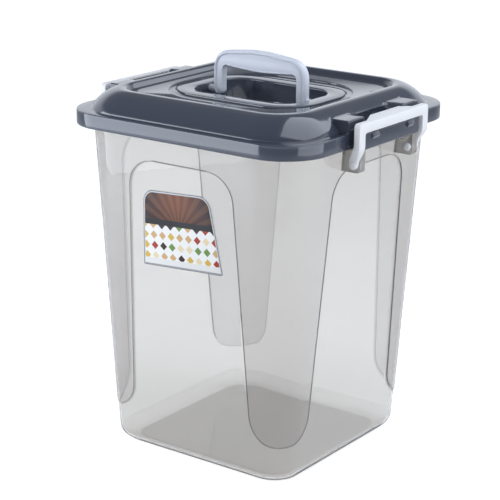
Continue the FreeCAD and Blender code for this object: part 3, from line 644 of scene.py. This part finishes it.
def lid():
    """Shell and sunk deck. The deck is moat, plinth and pit above, and the pit's cup below, as rings that start or
    end on the shell's own edges."""
    shell = lid_shell()
    above = [
        square(DECK_HALF - DECK_ROUND, DECK_CORNER - DECK_ROUND, DECK_TOP),
        (92.0, 81.0, 68.5, DECK_TOP), (91.6, 80.6, 68.1, DECK_TOP - 0.15), (91.4, 80.4, 67.9, DECK_TOP - 0.5),
        (91.2, 80.2, 67.7, DECK_TOP - 2.0), (90.8, 79.8, 67.3, DECK_TOP - 2.3),
        (83.6, 61.6, 43.6, DECK_TOP - 2.3), (83.2, 61.2, 43.2, DECK_TOP - 2.0),
        (83.0, 61.0, 43.0, DECK_TOP - 0.5), (82.8, 60.8, 42.8, DECK_TOP - 0.15), (82.3, 60.3, 42.3, DECK_TOP),
        (66.2, 44.2, 26.2, DECK_TOP), (65.5, 43.5, 25.5, DECK_TOP - 0.25), (65.1, 43.1, 25.1, DECK_TOP - 0.8),
        (65.0, 43.0, 25.0, DECK_TOP - 1.6), (64.2, 42.2, 24.2, PIT_FLOOR + 2.5), (63.4, 41.4, 23.4, PIT_FLOOR + 0.7),
        (61.8, 39.8, 21.8, PIT_FLOOR), (20.0, 12.0, 8.0, PIT_FLOOR), (0.0, 0.0, 0.0, PIT_FLOOR),
    ]
    below = [
        (0.0, 0.0, 0.0, PIT_FLOOR - LID_WALL), (64.0, 42.0, 24.0, PIT_FLOOR - LID_WALL),
        (66.6, 44.6, 26.6, PIT_FLOOR - 0.6), (67.2, 45.2, 27.2, CUP_TOP),
        square(CUP_HALF, CROWN_CORNER, CUP_TOP),
    ]
    grids = (shell, ray_rings(above, shell[-1]), ray_rings(below, shell[0]))
    return [(grid, True, False, False) for grid in grids]


def aprons():
    """Panel below each latch seat, with two wedge-shaped catch nubs along its top edge."""
    outline = rounded_outline([
        (-APRON_HALF, APRON_FOOT, APRON_ROUND), (APRON_HALF, APRON_FOOT, APRON_ROUND),
        (APRON_HALF, APRON_TOP, APRON_ROUND), (-APRON_HALF, APRON_TOP, APRON_ROUND),
    ])
    panel = slab(outline, APRON_BACK, LATCH_FRONT - APRON_SET_BACK, 1.8, SIDE)
    grids = both_sides(panel)
    wedge = rounded_outline([
        (152.0, 353.6, 0.5), (159.4, 353.6, 0.5), (LATCH_FRONT, 357.0, 0.8), (158.4, 361.9, 0.8), (152.0, 361.9, 0.5),
    ])
    for place in (NUB_PLACE, -NUB_PLACE):
        grids += both_sides(slab(wedge, place - NUB_HALF, place + NUB_HALF, 0.5, FRONT))
    return grids


# Latches


def latch_front(height):
    """Front of the latch at a height: upright, bent in below the apron, and round about the pivot at the foot."""
    bent = np.interp(height, [PIVOT_Z, PIVOT_Z + 3.4, PIVOT_Z + 15.0, PIVOT_Z + 19.0],
                     [PIVOT_X + LEG_END, PIVOT_X + LEG_END + 0.6, LATCH_FRONT - 0.5, LATCH_FRONT])
    foot = PIVOT_X + np.sqrt(np.maximum(LEG_END ** 2 - (height - PIVOT_Z) ** 2, 0))
    return np.where(height < PIVOT_Z, foot, bent)


def latch_back(height):
    """Back of the latch at a height, along the same bend."""
    bent = np.interp(height, [PIVOT_Z, PIVOT_Z + 5.0, PIVOT_Z + 18.0, PIVOT_Z + 22.0],
                     [PIVOT_X - LEG_END, PIVOT_X - LEG_END + 0.6, LATCH_FRONT - 7.5, LATCH_FRONT - 6.9])
    foot = PIVOT_X - np.sqrt(np.maximum(LEG_END ** 2 - (height - PIVOT_Z) ** 2, 0))
    return np.where(height < PIVOT_Z, foot, bent)


def latch_frame():
    """Legs and cross bar in one run: a section between an outer and an inner line of the frame's front view.

    In the bar's middle the section's back grows into a finger tab that rises a little."""
    drop = PIVOT_Z - LEG_END * np.cos(np.radians(np.linspace(4, 90, 9)))
    rise = np.concatenate([drop, np.linspace(PIVOT_Z + 1, PIVOT_Z + 22, 18)])
    corner, inner_corner = 4.2, 2.6
    under = PIVOT_Z + math.sqrt(CATCH_RADIUS ** 2 - (LATCH_FRONT - PIVOT_X) ** 2) + CATCH_PLAY
    narrowed = LEG_TAPER * np.clip((PIVOT_Z + 17.0 - rise) / 14.0, 0, 1)
    outer_leg = np.stack([np.append(narrowed, 0.0) - BOSS_HALF, np.append(rise, BAR_TOP - corner - 3.0)], axis=-1)
    inner_leg = np.stack([np.full(len(rise) + 1, -LEG_INNER), np.append(rise, under - inner_corner - 1.0)], axis=-1)
    outer_turn = arc((-BOSS_HALF + corner, BAR_TOP - corner), corner, 180, 90, 9)
    inner_turn = arc((-LEG_INNER + inner_corner, under - inner_corner), inner_corner, 180, 90, 9)
    across = np.linspace(-48.0, 0.0, 49)
    outer_bar = np.stack([across, 0 * across + BAR_TOP], axis=-1)
    inner_bar = np.stack([across, 0 * across + under], axis=-1)
    outer = mirrored_on(np.concatenate([outer_leg, outer_turn, outer_bar]))
    inner = mirrored_on(np.concatenate([inner_leg, inner_turn, inner_bar]))

    on_bar = outer[:, 1] > BAR_TOP - 0.01
    run = np.where(on_bar, np.clip((TAB_END - np.abs(outer[:, 0])) / TAB_SLOPE, 0, 1), 0)
    tab = (run + 0.12 * np.sin(2 * math.pi * run) / (2 * math.pi))[:, None]
    width = np.linalg.norm(inner - outer, axis=1, keepdims=True)
    way = (inner - outer) / width
    edge = np.minimum(1.0, width / 10.4)
    bar = on_bar[:, None].astype(float)
    # Section points: (distance from the outer line, how far back from the front: 0 front, 1 back, offset).
    plain = np.array([(1.5, 0, 0), (0.45, 0, -0.45), (0, 0, -1.5), (0, 1, 1.5), (0.3, 1, 0.45), (0.9, 1, 0.1),
                      (1.7, 1, 0), (2.5, 1, 0), (3.3, 1, 0), (5.9, 1, 0)])
    tipped = np.array([(1.5, 0, 0), (0.45, 0, -0.45), (0, 0, -2.0), (-0.5, 1, 0.6), (-1.75, 1, -TAB_REACH + 1.5),
                       (-1.3, 1, -TAB_REACH + 0.4), (-0.1, 1, -TAB_REACH), (0.9, 1, -TAB_REACH + 0.35),
                       (1.9, 1, -TAB_REACH + 1.3), (5.9, 1, 0)])
    upper = plain + (tipped - plain) * tab[:, :, None]
    lower = np.array([(0.6, 1, 0), (0.15, 1, 0.15), (0, 1, 0.6), (0, 0, -0.6), (0.15, 0, -0.15), (0.6, 0, 0)])
    distance = np.concatenate([upper[..., 0] * edge, width - lower[:, 0]], axis=1)
    side = np.concatenate([plain[:, 1], lower[:, 1]])
    offset = np.concatenate([upper[..., 2], np.broadcast_to(lower[:, 2], (len(outer), len(lower)))], axis=1)
    y = outer[:, :1] + way[:, :1] * distance
    z = outer[:, 1:] + way[:, 1:] * distance
    depth = np.minimum(1.0, (latch_front(z) - latch_back(z)) / 4.0)
    x = np.where(side > 0.5, latch_back(z), latch_front(z)) + offset * depth
    lift = PIVOT_Z + np.sqrt(CATCH_RADIUS ** 2 - (np.minimum(x, LATCH_FRONT) - PIVOT_X) ** 2) - under
    on_lower = np.concatenate([np.zeros(len(plain)), np.ones(len(lower))])
    z = z + on_lower * bar * (lift + CATCH_PLAY)
    return (np.stack([x, y, z], axis=-1), True, True, True)


def latch_pins():
    """Pins from the legs through the lugs, each with a domed head on the leg and a domed snap head past the lug."""
    dome = np.radians(np.linspace(0, 90, 7))
    profile = np.concatenate([
        np.stack([4.2 * np.sin(dome), -4.2 - 1.6 * np.cos(dome)], axis=-1),
        [(4.2, -2.0), (2.9, -2.0), (2.9, 9.75), (4.0, 9.75), (4.2, 10.0)],
        np.stack([4.2 * np.cos(dome), 10.3 + 2.0 * np.sin(dome)], axis=-1),
    ])
    toward_far = np.array([[0, 0, 1], [1, 0, 0], [0, 1, 0]], float)
    near = spun(profile, (PIVOT_X, -LEG_INNER, PIVOT_Z), toward_far)
    far = spun(profile, (PIVOT_X, LEG_INNER, PIVOT_Z), FRONT)
    return [solid(near), solid(far)]


def latch(degrees):
    """Whole latch, turned about the Z axis to its side."""
    grids = [latch_frame()] + latch_pins()
    return [(turned(grid, degrees), wrap, capped, flipped) for grid, wrap, capped, flipped in grids]


# Handle


def handle_paths():
    """Outer and inner line of the bail from the left foot over the grip to the right foot, point for point."""
    drop = np.linspace(0, 1, 6)
    foot = HANDLE_ROUND * (1 - np.sqrt(1 - (1 - drop) ** 2))
    low = HANDLE_PIVOT - HANDLE_ROUND + HANDLE_ROUND * drop
    outer_foot = np.stack([-HANDLE_HALF + foot, low], axis=-1)
    inner_foot = np.stack([-HANDLE_INNER - foot, low], axis=-1)
    slope = 6.0 / HANDLE_HALF
    crest_x = np.linspace(-38.0, 0.0, 20)
    round_off = 117.0 * (np.sqrt(1 + slope ** 2) - 1)
    flat = np.clip(np.abs(crest_x) / 12.0, 0, 1)
    crest_z = HANDLE_TOP - slope * np.abs(crest_x) - round_off * 1.6 * (1 - flat) ** 2
    crest = np.stack([crest_x, crest_z], axis=-1)
    spots = np.array([(-HANDLE_HALF, HANDLE_LEG_TOP), (-HANDLE_HALF, HANDLE_TOP - 6.0), crest[0]])
    share = np.linspace(0, 1, 14)[:, None]
    bend = (1 - share) ** 2 * spots[0] + 2 * share * (1 - share) * spots[1] + share ** 2 * spots[2]
    leg_z = np.linspace(HANDLE_PIVOT, HANDLE_LEG_TOP, 8)[1:-1]
    outer_leg = np.stack([0 * leg_z - HANDLE_HALF, leg_z], axis=-1)
    inner_leg = np.stack([0 * leg_z - HANDLE_INNER, HANDLE_PIVOT + (leg_z - HANDLE_PIVOT) * 0.95], axis=-1)
    inner_bend = np.concatenate([
        np.stack([np.full(4, -HANDLE_INNER), np.linspace(389.5, 391.7, 4)], axis=-1),
        arc((-HANDLE_INNER + HANDLE_ROUND, 391.5), HANDLE_ROUND, 180, 90, 10),
    ])
    belly_x = np.linspace(-40.2, 0.0, 21)[1:]
    belly_share = 1 - np.abs(belly_x) / 41.5
    belly = np.stack([belly_x, 396.1 - 2.7 * (1 - (1 - belly_share) ** 1.6)], axis=-1)
    outer = np.concatenate([outer_foot, outer_leg, bend, crest[1:]])
    inner = np.concatenate([inner_foot, inner_leg, inner_bend, belly[1:]])
    return mirrored_on(outer), mirrored_on(inner)


def handle_bail():
    """Section with a round outer bead, a groove, a flat web and a small inner lip, carried along the bail."""
    outer, inner = handle_paths()
    near_outer = np.array([(0.0, 0.0), (0.12, 1.3), (0.55, 2.7), (1.3, 3.9), (2.3, 4.65), (3.1, 4.8), (3.8, 4.5),
                           (4.3, 3.7), (4.7, 3.15), (5.1, 3.2), (5.6, 3.75)])
    near_inner = np.array([(2.7, 3.95), (2.2, 3.9), (1.7, 4.1), (1.1, 4.2), (0.5, 3.8), (0.1, 2.6), (0.0, 1.2),
                           (0.0, 0.0)])
    span = inner - outer
    width = np.linalg.norm(span, axis=1, keepdims=True)
    way = span / width
    fit = np.minimum(1.0, width / 9.0)
    from_outer = near_outer[:, 0] * fit
    from_inner = width - near_inner[:, 0] * fit
    depth = np.concatenate([near_outer[:, 1], near_inner[:, 1]])
    distance = np.concatenate([from_outer, from_inner], axis=1)
    front_x = outer[:, :1] + way[:, :1] * distance
    front_z = outer[:, 1:] + way[:, 1:] * distance
    thin = np.minimum(1.0, 0.35 + 0.65 * width / 12.0)
    front = np.stack([front_x, -depth * thin, front_z], axis=-1)
    back = np.stack([front_x, depth * thin, front_z], axis=-1)[:, -2:0:-1]
    return solid(np.concatenate([front, back], axis=1))


def handle_pins():
    """Pin on the outer side of each leg, reaching into the pit's end wall."""
    profile = np.array([(3.6, 54.0), (3.6, 66.5), (3.3, 67.0)])
    return both_sides(spun(profile, (0, 0, HANDLE_PIVOT), SIDE))


# Label


def label_axes():
    """Origin and axes of the sticker: across, up and out of the leaning front face, turned a little askew."""
    lean = math.atan2(TUB_RIM_HALF - TUB_BASE_HALF, TUB_HEIGHT)
    askew = math.radians(LABEL_ASKEW)
    up = np.array([0, -math.sin(lean), math.cos(lean)])
    across = np.array([1.0, 0, 0])
    axes = np.array([across * math.cos(askew) + up * math.sin(askew),
                     up * math.cos(askew) - across * math.sin(askew),
                     np.cross(across, up)])
    origin = np.array([LABEL_SHIFT, -tub_section(LABEL_PLACE, RELIEF)[0], LABEL_PLACE]) + axes[2] * 0.05
    return origin, axes


def label_sheet(margin, low, high):
    """Thin sheet with tapered sides and round shoulders, lying on the sunk front face, inside a margin."""
    origin, axes = label_axes()
    outline = rounded_outline([
        (-LABEL_FOOT_HALF, 0.0, 1.5), (LABEL_FOOT_HALF, 0.0, 1.5),
        (LABEL_TOP_HALF, LABEL_HEIGHT, 14.0), (-LABEL_TOP_HALF, LABEL_HEIGHT, 14.0),
    ], 16)
    return [solid(slab(inset(outline, margin), low, high, SHEET_BEVEL, axes) + origin)]


# Materials

# Clear polypropylene tinted smoke grey: see-through and glossy with a faint milky haze. Painted shade darkens it on
# the raised corners, the collar, the base and the slopes, and paints a dark line along the raised edges, which are
# seen edge on.
tub_material, tub_tree, tub_shader = plastic("smoke_clear_polypropylene", {
    "IOR": 1.45, "Transmission Weight": 0.9, "Roughness": 0.02,
})
moulded(tub_tree, tub_shader, grain=1.5, ripple=55.0, rough=(0.01, 0.035), strength=0.02)
# Painted shade: a face attribute picks a stop of this ramp; the first stop is the plastic's own light smoke grey, the
# others paint shade, the darkest a dark line along the raised edges.
painted_shade = add(tub_tree, "ShaderNodeAttribute", {"attribute_name": "painted_shade"})
shade_ramp = add(tub_tree, "ShaderNodeValToRGB", inputs={"Fac": painted_shade.outputs["Fac"]})
shade_ramp.color_ramp.elements[0].color = linear("#EBEAE8")
shade_ramp.color_ramp.elements[1].color = linear("#5E5D5C")
shade_ramp.color_ramp.elements.new(CORNER_TONE).color = linear("#D7D5D3")
shade_ramp.color_ramp.elements.new(SLOPE_TONE).color = linear("#C6C4C2")
tub_tree.links.new(shade_ramp.outputs["Color"], tub_shader.inputs["Base Color"])

# The same plastic in the solid lugs: thick enough to look cloudy.
lug_material, lug_tree, lug_shader = plastic("cloudy_smoke_polypropylene", {
    "Base Color": linear("#CFCBC7"), "IOR": 1.45, "Transmission Weight": 0.6, "Roughness": 0.3,
})
moulded(lug_tree, lug_shader, grain=1.5, ripple=20.0, rough=(0.25, 0.35), strength=0.03)

# Glossy dark slate polypropylene: mirror-like on flat faces, nearly black-blue where nothing is reflected.
lid_material, lid_tree, lid_shader = plastic("slate_gloss_polypropylene", {
    "Base Color": linear("#3C414F"), "IOR": 1.5, "Coat Weight": 1.0, "Coat Roughness": 0.03, "Roughness": 0.15,
})
moulded(lid_tree, lid_shader, grain=1.2, ripple=40.0, rough=(0.1, 0.2))

# Pale blue-grey polypropylene of the handle: satin, softly lit.
handle_material, handle_tree, handle_shader = plastic("pale_grey_polypropylene", {
    "Base Color": linear("#E0E4ED"), "IOR": 1.5, "Roughness": 0.32,
})
moulded(handle_tree, handle_shader, grain=1.2, ripple=25.0, rough=(0.28, 0.38))

# Near-white polypropylene of the latches: satin.
latch_material, latch_tree, latch_shader = plastic("near_white_polypropylene", {
    "Base Color": linear("#EFEEEE"), "IOR": 1.5, "Roughness": 0.35,
})
moulded(latch_tree, latch_shader, grain=1.2, ripple=25.0, rough=(0.3, 0.42))

# Coated paper of the sticker: a grey keyline at its edge and a silvery border, both with fine fibres.
keyline_material, keyline_tree, keyline_shader = plastic("grey_keyline_paper", {
    "Base Color": linear("#5E5F63"), "Roughness": 0.4,
})
moulded(keyline_tree, keyline_shader, grain=0.8, ripple=12.0, rough=(0.3, 0.45))
border_material, border_tree, border_shader = plastic("silvery_coated_paper", {
    "Base Color": linear("#C9CBCE"), "Roughness": 0.3,
})
moulded(border_tree, border_shader, grain=0.8, ripple=12.0, rough=(0.2, 0.35))


def printed_sticker():
    """Glossy offset print: rays over a glowing brown field, a dark strip, and rows of small lozenges on white.

    Heights and widths are millimetres on the sticker, from its foot's middle."""
    material, tree, shader = plastic("glossy_offset_print", {"Roughness": 0.25, "IOR": 1.4})
    moulded(tree, shader, grain=0.8, ripple=30.0, rough=(0.2, 0.3), strength=0.02)
    origin, axes = label_axes()
    place = place_of(tree, Matrix(axes.tolist()).to_euler(), (-axes @ origin).tolist())
    parts = add(tree, "ShaderNodeSeparateXYZ", inputs={"Vector": place})

    away = add(tree, "ShaderNodeVectorMath", {"operation": "DISTANCE"}, {0: place, 1: (0, GLOW_PLACE, 0)})
    glow = add(tree, "ShaderNodeMapRange", {"interpolation_type": "SMOOTHSTEP"}, {
        "Value": away.outputs["Value"], "From Min": 0.0, "From Max": 42.0,
    })
    field = add(tree, "ShaderNodeMix", {"data_type": "RGBA"}, {
        0: glow.outputs["Result"], 6: linear("#703616"), 7: linear("#2B0B0E"),
    })
    above = add(tree, "ShaderNodeMath", {"operation": "SUBTRACT"}, {0: parts.outputs["Y"], 1: RAY_ORIGIN})
    bearing = add(tree, "ShaderNodeMath", {"operation": "ARCTAN2"}, {
        0: parts.outputs["X"], 1: above.outputs["Value"],
    })
    swing = add(tree, "ShaderNodeMath", {"operation": "MULTIPLY"}, {0: bearing.outputs["Value"], 1: 22.0})
    wave = add(tree, "ShaderNodeMath", {"operation": "SINE"}, {0: swing.outputs["Value"]})
    rays = add(tree, "ShaderNodeMapRange", inputs={
        "Value": wave.outputs["Value"], "From Min": -0.15, "From Max": 0.15, "To Min": 0.0, "To Max": 0.07,
    })
    burst = add(tree, "ShaderNodeMix", {"data_type": "RGBA"}, {
        0: rays.outputs["Result"], 6: field.outputs[2], 7: linear("#E3A860"),
    })

    lozenges = add(tree, "ShaderNodeTexVoronoi", {"voronoi_dimensions": "2D", "distance": "MANHATTAN"}, {
        "Vector": place, "Scale": 1 / LOZENGE_PITCH, "Randomness": 0.0,
    })
    chance = add(tree, "ShaderNodeSeparateColor", inputs={"Color": lozenges.outputs["Color"]})
    inks = add(tree, "ShaderNodeValToRGB", inputs={"Fac": chance.outputs["Red"]})
    inks.color_ramp.interpolation = "CONSTANT"
    for spot, code in ((0.0, "#3B2620"), (0.26, "#CFA873"), (0.44, "#E7D5AC"), (0.6, "#D6B24E"), (0.74, "#A8392B"),
                       (0.87, "#6F8F45")):
        stop = inks.color_ramp.elements.new(spot) if spot else inks.color_ramp.elements[0]
        stop.color = linear(code)
    inks.color_ramp.elements.remove(inks.color_ramp.elements[-1])
    inside = add(tree, "ShaderNodeMath", {"operation": "LESS_THAN"}, {0: lozenges.outputs["Distance"], 1: 0.4})
    lower = add(tree, "ShaderNodeMix", {"data_type": "RGBA"}, {
        0: inside.outputs["Value"], 6: linear("#EFEDE9"), 7: inks.outputs["Color"],
    })
    colour = burst
    for top, ink in ((STRIP_TOP, linear("#14161B")), (STRIP_FOOT, lower.outputs[2]), (FOOT_TOP, linear("#E4E2DE"))):
        under = add(tree, "ShaderNodeMath", {"operation": "LESS_THAN"}, {0: parts.outputs["Y"], 1: top})
        colour = add(tree, "ShaderNodeMix", {"data_type": "RGBA"}, {
            0: under.outputs["Value"], 6: colour.outputs[2], 7: ink,
        })
    tree.links.new(colour.outputs[2], shader.inputs["Base Color"])
    return material


outer_skin, outer_tones, outer_edge = tub_skin(0.0, 0.0)
inner_skin, inner_tones, inner_edge = tub_skin(TUB_WALL, TUB_FLOOR)
rim, rim_tones = tub_rim(outer_edge, inner_edge)
mesh_piece("clear_tub", outer_skin + inner_skin + rim, tub_material, "container", "tub", sharp=50.0,
           painted_shades=np.concatenate([outer_tones, inner_tones, rim_tones]))
mesh_piece("clear_lugs", lugs(), lug_material, "container")
mesh_piece("slate_lid", lid(), lid_material, "container", "lid", sharp=40.0)
mesh_piece("slate_aprons", aprons(), lid_material, "container")
mesh_piece("grey_handle", [handle_bail()] + handle_pins(), handle_material, "handle", "carry_handle",
           sharp=50.0)
mesh_piece("white_latch_right", latch(0), latch_material, "right_latch", "latch_right", sharp=40.0)
mesh_piece("white_latch_left", latch(180), latch_material, "left_latch", "latch_left", sharp=40.0)
mesh_piece("sticker", label_sheet(0.0, 0.0, 0.14), keyline_material, "container", "front_label")
mesh_piece("sticker_border", label_sheet(0.8, 0.05, 0.22), border_material, "container")
mesh_piece("sticker_print", label_sheet(2.0, 0.1, 0.3), printed_sticker(), "container")


# Studio

# Fitted camera: azimuth, elevation and roll in degrees, place in metres, focal length in pixels of the square image.
CAMERA_TURN = (36.105, 16.949, 0.5488)
CAMERA_PLACE = (0.98368, -1.36469, 0.71643)
FOCAL_PIXELS = 1669.4
IMAGE_PIXELS = 500
# Lift that makes the floor white to the eye.
FLOOR_LIFT = 0.75


def seen_by_eye(tree):
    """1 for rays from the camera, also through clear plastic, and 0 for light and reflections."""
    path = add(tree, "ShaderNodeLightPath")
    return add(tree, "ShaderNodeMath", {"operation": "MAXIMUM"}, {
        0: path.outputs["Is Camera Ray"], 1: path.outputs["Is Transmission Ray"],
    }).outputs["Value"]


def make_floor():
    """Large plain floor, white to the eye, that keeps the object's soft shadow."""
    mesh = bpy.data.meshes.new("studio_floor")
    side = 8.0
    mesh.from_pydata([(-side, -side, 0), (side, -side, 0), (side, side, 0), (-side, side, 0)], [], [(0, 1, 2, 3)])
    floor = bpy.data.objects.new("studio_floor", mesh)
    bpy.context.scene.collection.objects.link(floor)
    material = bpy.data.materials.new("white_floor_paint")
    material.use_nodes = True
    tree = material.node_tree
    tree.nodes.clear()
    paint = add(tree, "ShaderNodeBsdfDiffuse", inputs={"Color": (0.8, 0.8, 0.8, 1)})
    lift = add(tree, "ShaderNodeMath", {"operation": "MULTIPLY"}, {0: seen_by_eye(tree), 1: FLOOR_LIFT})
    glow = add(tree, "ShaderNodeEmission", inputs={"Color": (1, 1, 1, 1), "Strength": lift.outputs["Value"]})
    mixed = add(tree, "ShaderNodeAddShader", inputs={0: paint.outputs[0], 1: glow.outputs[0]})
    add(tree, "ShaderNodeOutputMaterial", inputs={"Surface": mixed.outputs[0]})
    mesh.materials.append(material)
    floor.location.z = -0.0005


def make_world():
    """White backdrop for the eye and through clear plastic; for light, a bright horizon under a dim ceiling."""
    world = bpy.data.worlds.new("studio")
    bpy.context.scene.world = world
    world.use_nodes = True
    tree = world.node_tree
    tree.nodes.clear()
    seen = seen_by_eye(tree)
    way = add(tree, "ShaderNodeTexCoord")
    parts = add(tree, "ShaderNodeSeparateXYZ", inputs={"Vector": way.outputs["Generated"]})
    level = add(tree, "ShaderNodeMapRange", {"interpolation_type": "SMOOTHSTEP"}, {
        "Value": parts.outputs["Z"], "From Min": 0.36, "From Max": 0.52, "To Min": 0.85, "To Max": 0.25,
    })
    backdrop = add(tree, "ShaderNodeBackground", inputs={"Color": (1, 1, 1, 1), "Strength": 1.0})
    room = add(tree, "ShaderNodeBackground", inputs={
        "Color": (0.93, 0.98, 1.07, 1), "Strength": level.outputs["Result"],
    })
    mixed = add(tree, "ShaderNodeMixShader", inputs={0: seen, 1: room.outputs[0], 2: backdrop.outputs[0]})
    add(tree, "ShaderNodeOutputWorld", inputs={"Surface": mixed.outputs[0]})


def make_softbox(name, azimuth, height, distance, size, radiance, target=(0, 0, 0.3)):
    """Area lamp at a height and distance that faces a target; azimuth 0 is in front of the label, 90 to its right.

    size is width and height in metres, radiance its brightness in reflections, where 1 is white."""
    lamp = bpy.data.lights.new(name, "AREA")
    lamp.shape = "RECTANGLE"
    lamp.size, lamp.size_y = size
    lamp.color = (0.92, 0.985, 1.085)
    lamp.energy = radiance * math.pi * size[0] * size[1]
    softbox = bpy.data.objects.new(name, lamp)
    bpy.context.scene.collection.objects.link(softbox)
    around = math.radians(azimuth)
    softbox.location = (math.sin(around) * distance, -math.cos(around) * distance, height)
    softbox.rotation_euler = (softbox.location - Vector(target)).to_track_quat("Z", "Y").to_euler()
    softbox.visible_camera = softbox.visible_transmission = False


def make_camera():
    """Camera at the fitted place, turn and focal length of the view."""
    data = bpy.data.cameras.new("camera")
    data.sensor_width = 36.0
    data.lens = data.sensor_width * FOCAL_PIXELS / IMAGE_PIXELS
    camera = bpy.data.objects.new("camera", data)
    bpy.context.scene.collection.objects.link(camera)
    azimuth, elevation, roll = (math.radians(angle) for angle in CAMERA_TURN)
    back = Vector((math.sin(azimuth) * math.cos(elevation), -math.cos(azimuth) * math.cos(elevation),
                   math.sin(elevation)))
    right = Vector((math.cos(azimuth), math.sin(azimuth), 0))
    up = back.cross(right)
    across = right * math.cos(roll) + up * math.sin(roll)
    upward = up * math.cos(roll) - right * math.sin(roll)
    turn = Matrix((across, upward, back)).transposed().to_4x4()
    camera.matrix_world = Matrix.Translation(CAMERA_PLACE) @ turn
    bpy.context.scene.camera = camera


make_floor()
make_world()
make_softbox("left_softbox", azimuth=-40, height=0.36, distance=0.95, size=(0.92, 0.72), radiance=2.75)
make_softbox("right_softbox", azimuth=96, height=0.22, distance=1.1, size=(1.34, 0.44), radiance=1.5)
make_softbox("overhead_softbox", azimuth=118.7, height=1.2, distance=0.55, size=(1.44, 1.03), radiance=1.7,
             target=(0, 0, 0.365))
make_camera()
bpy.context.scene.view_settings.view_transform = "Standard"
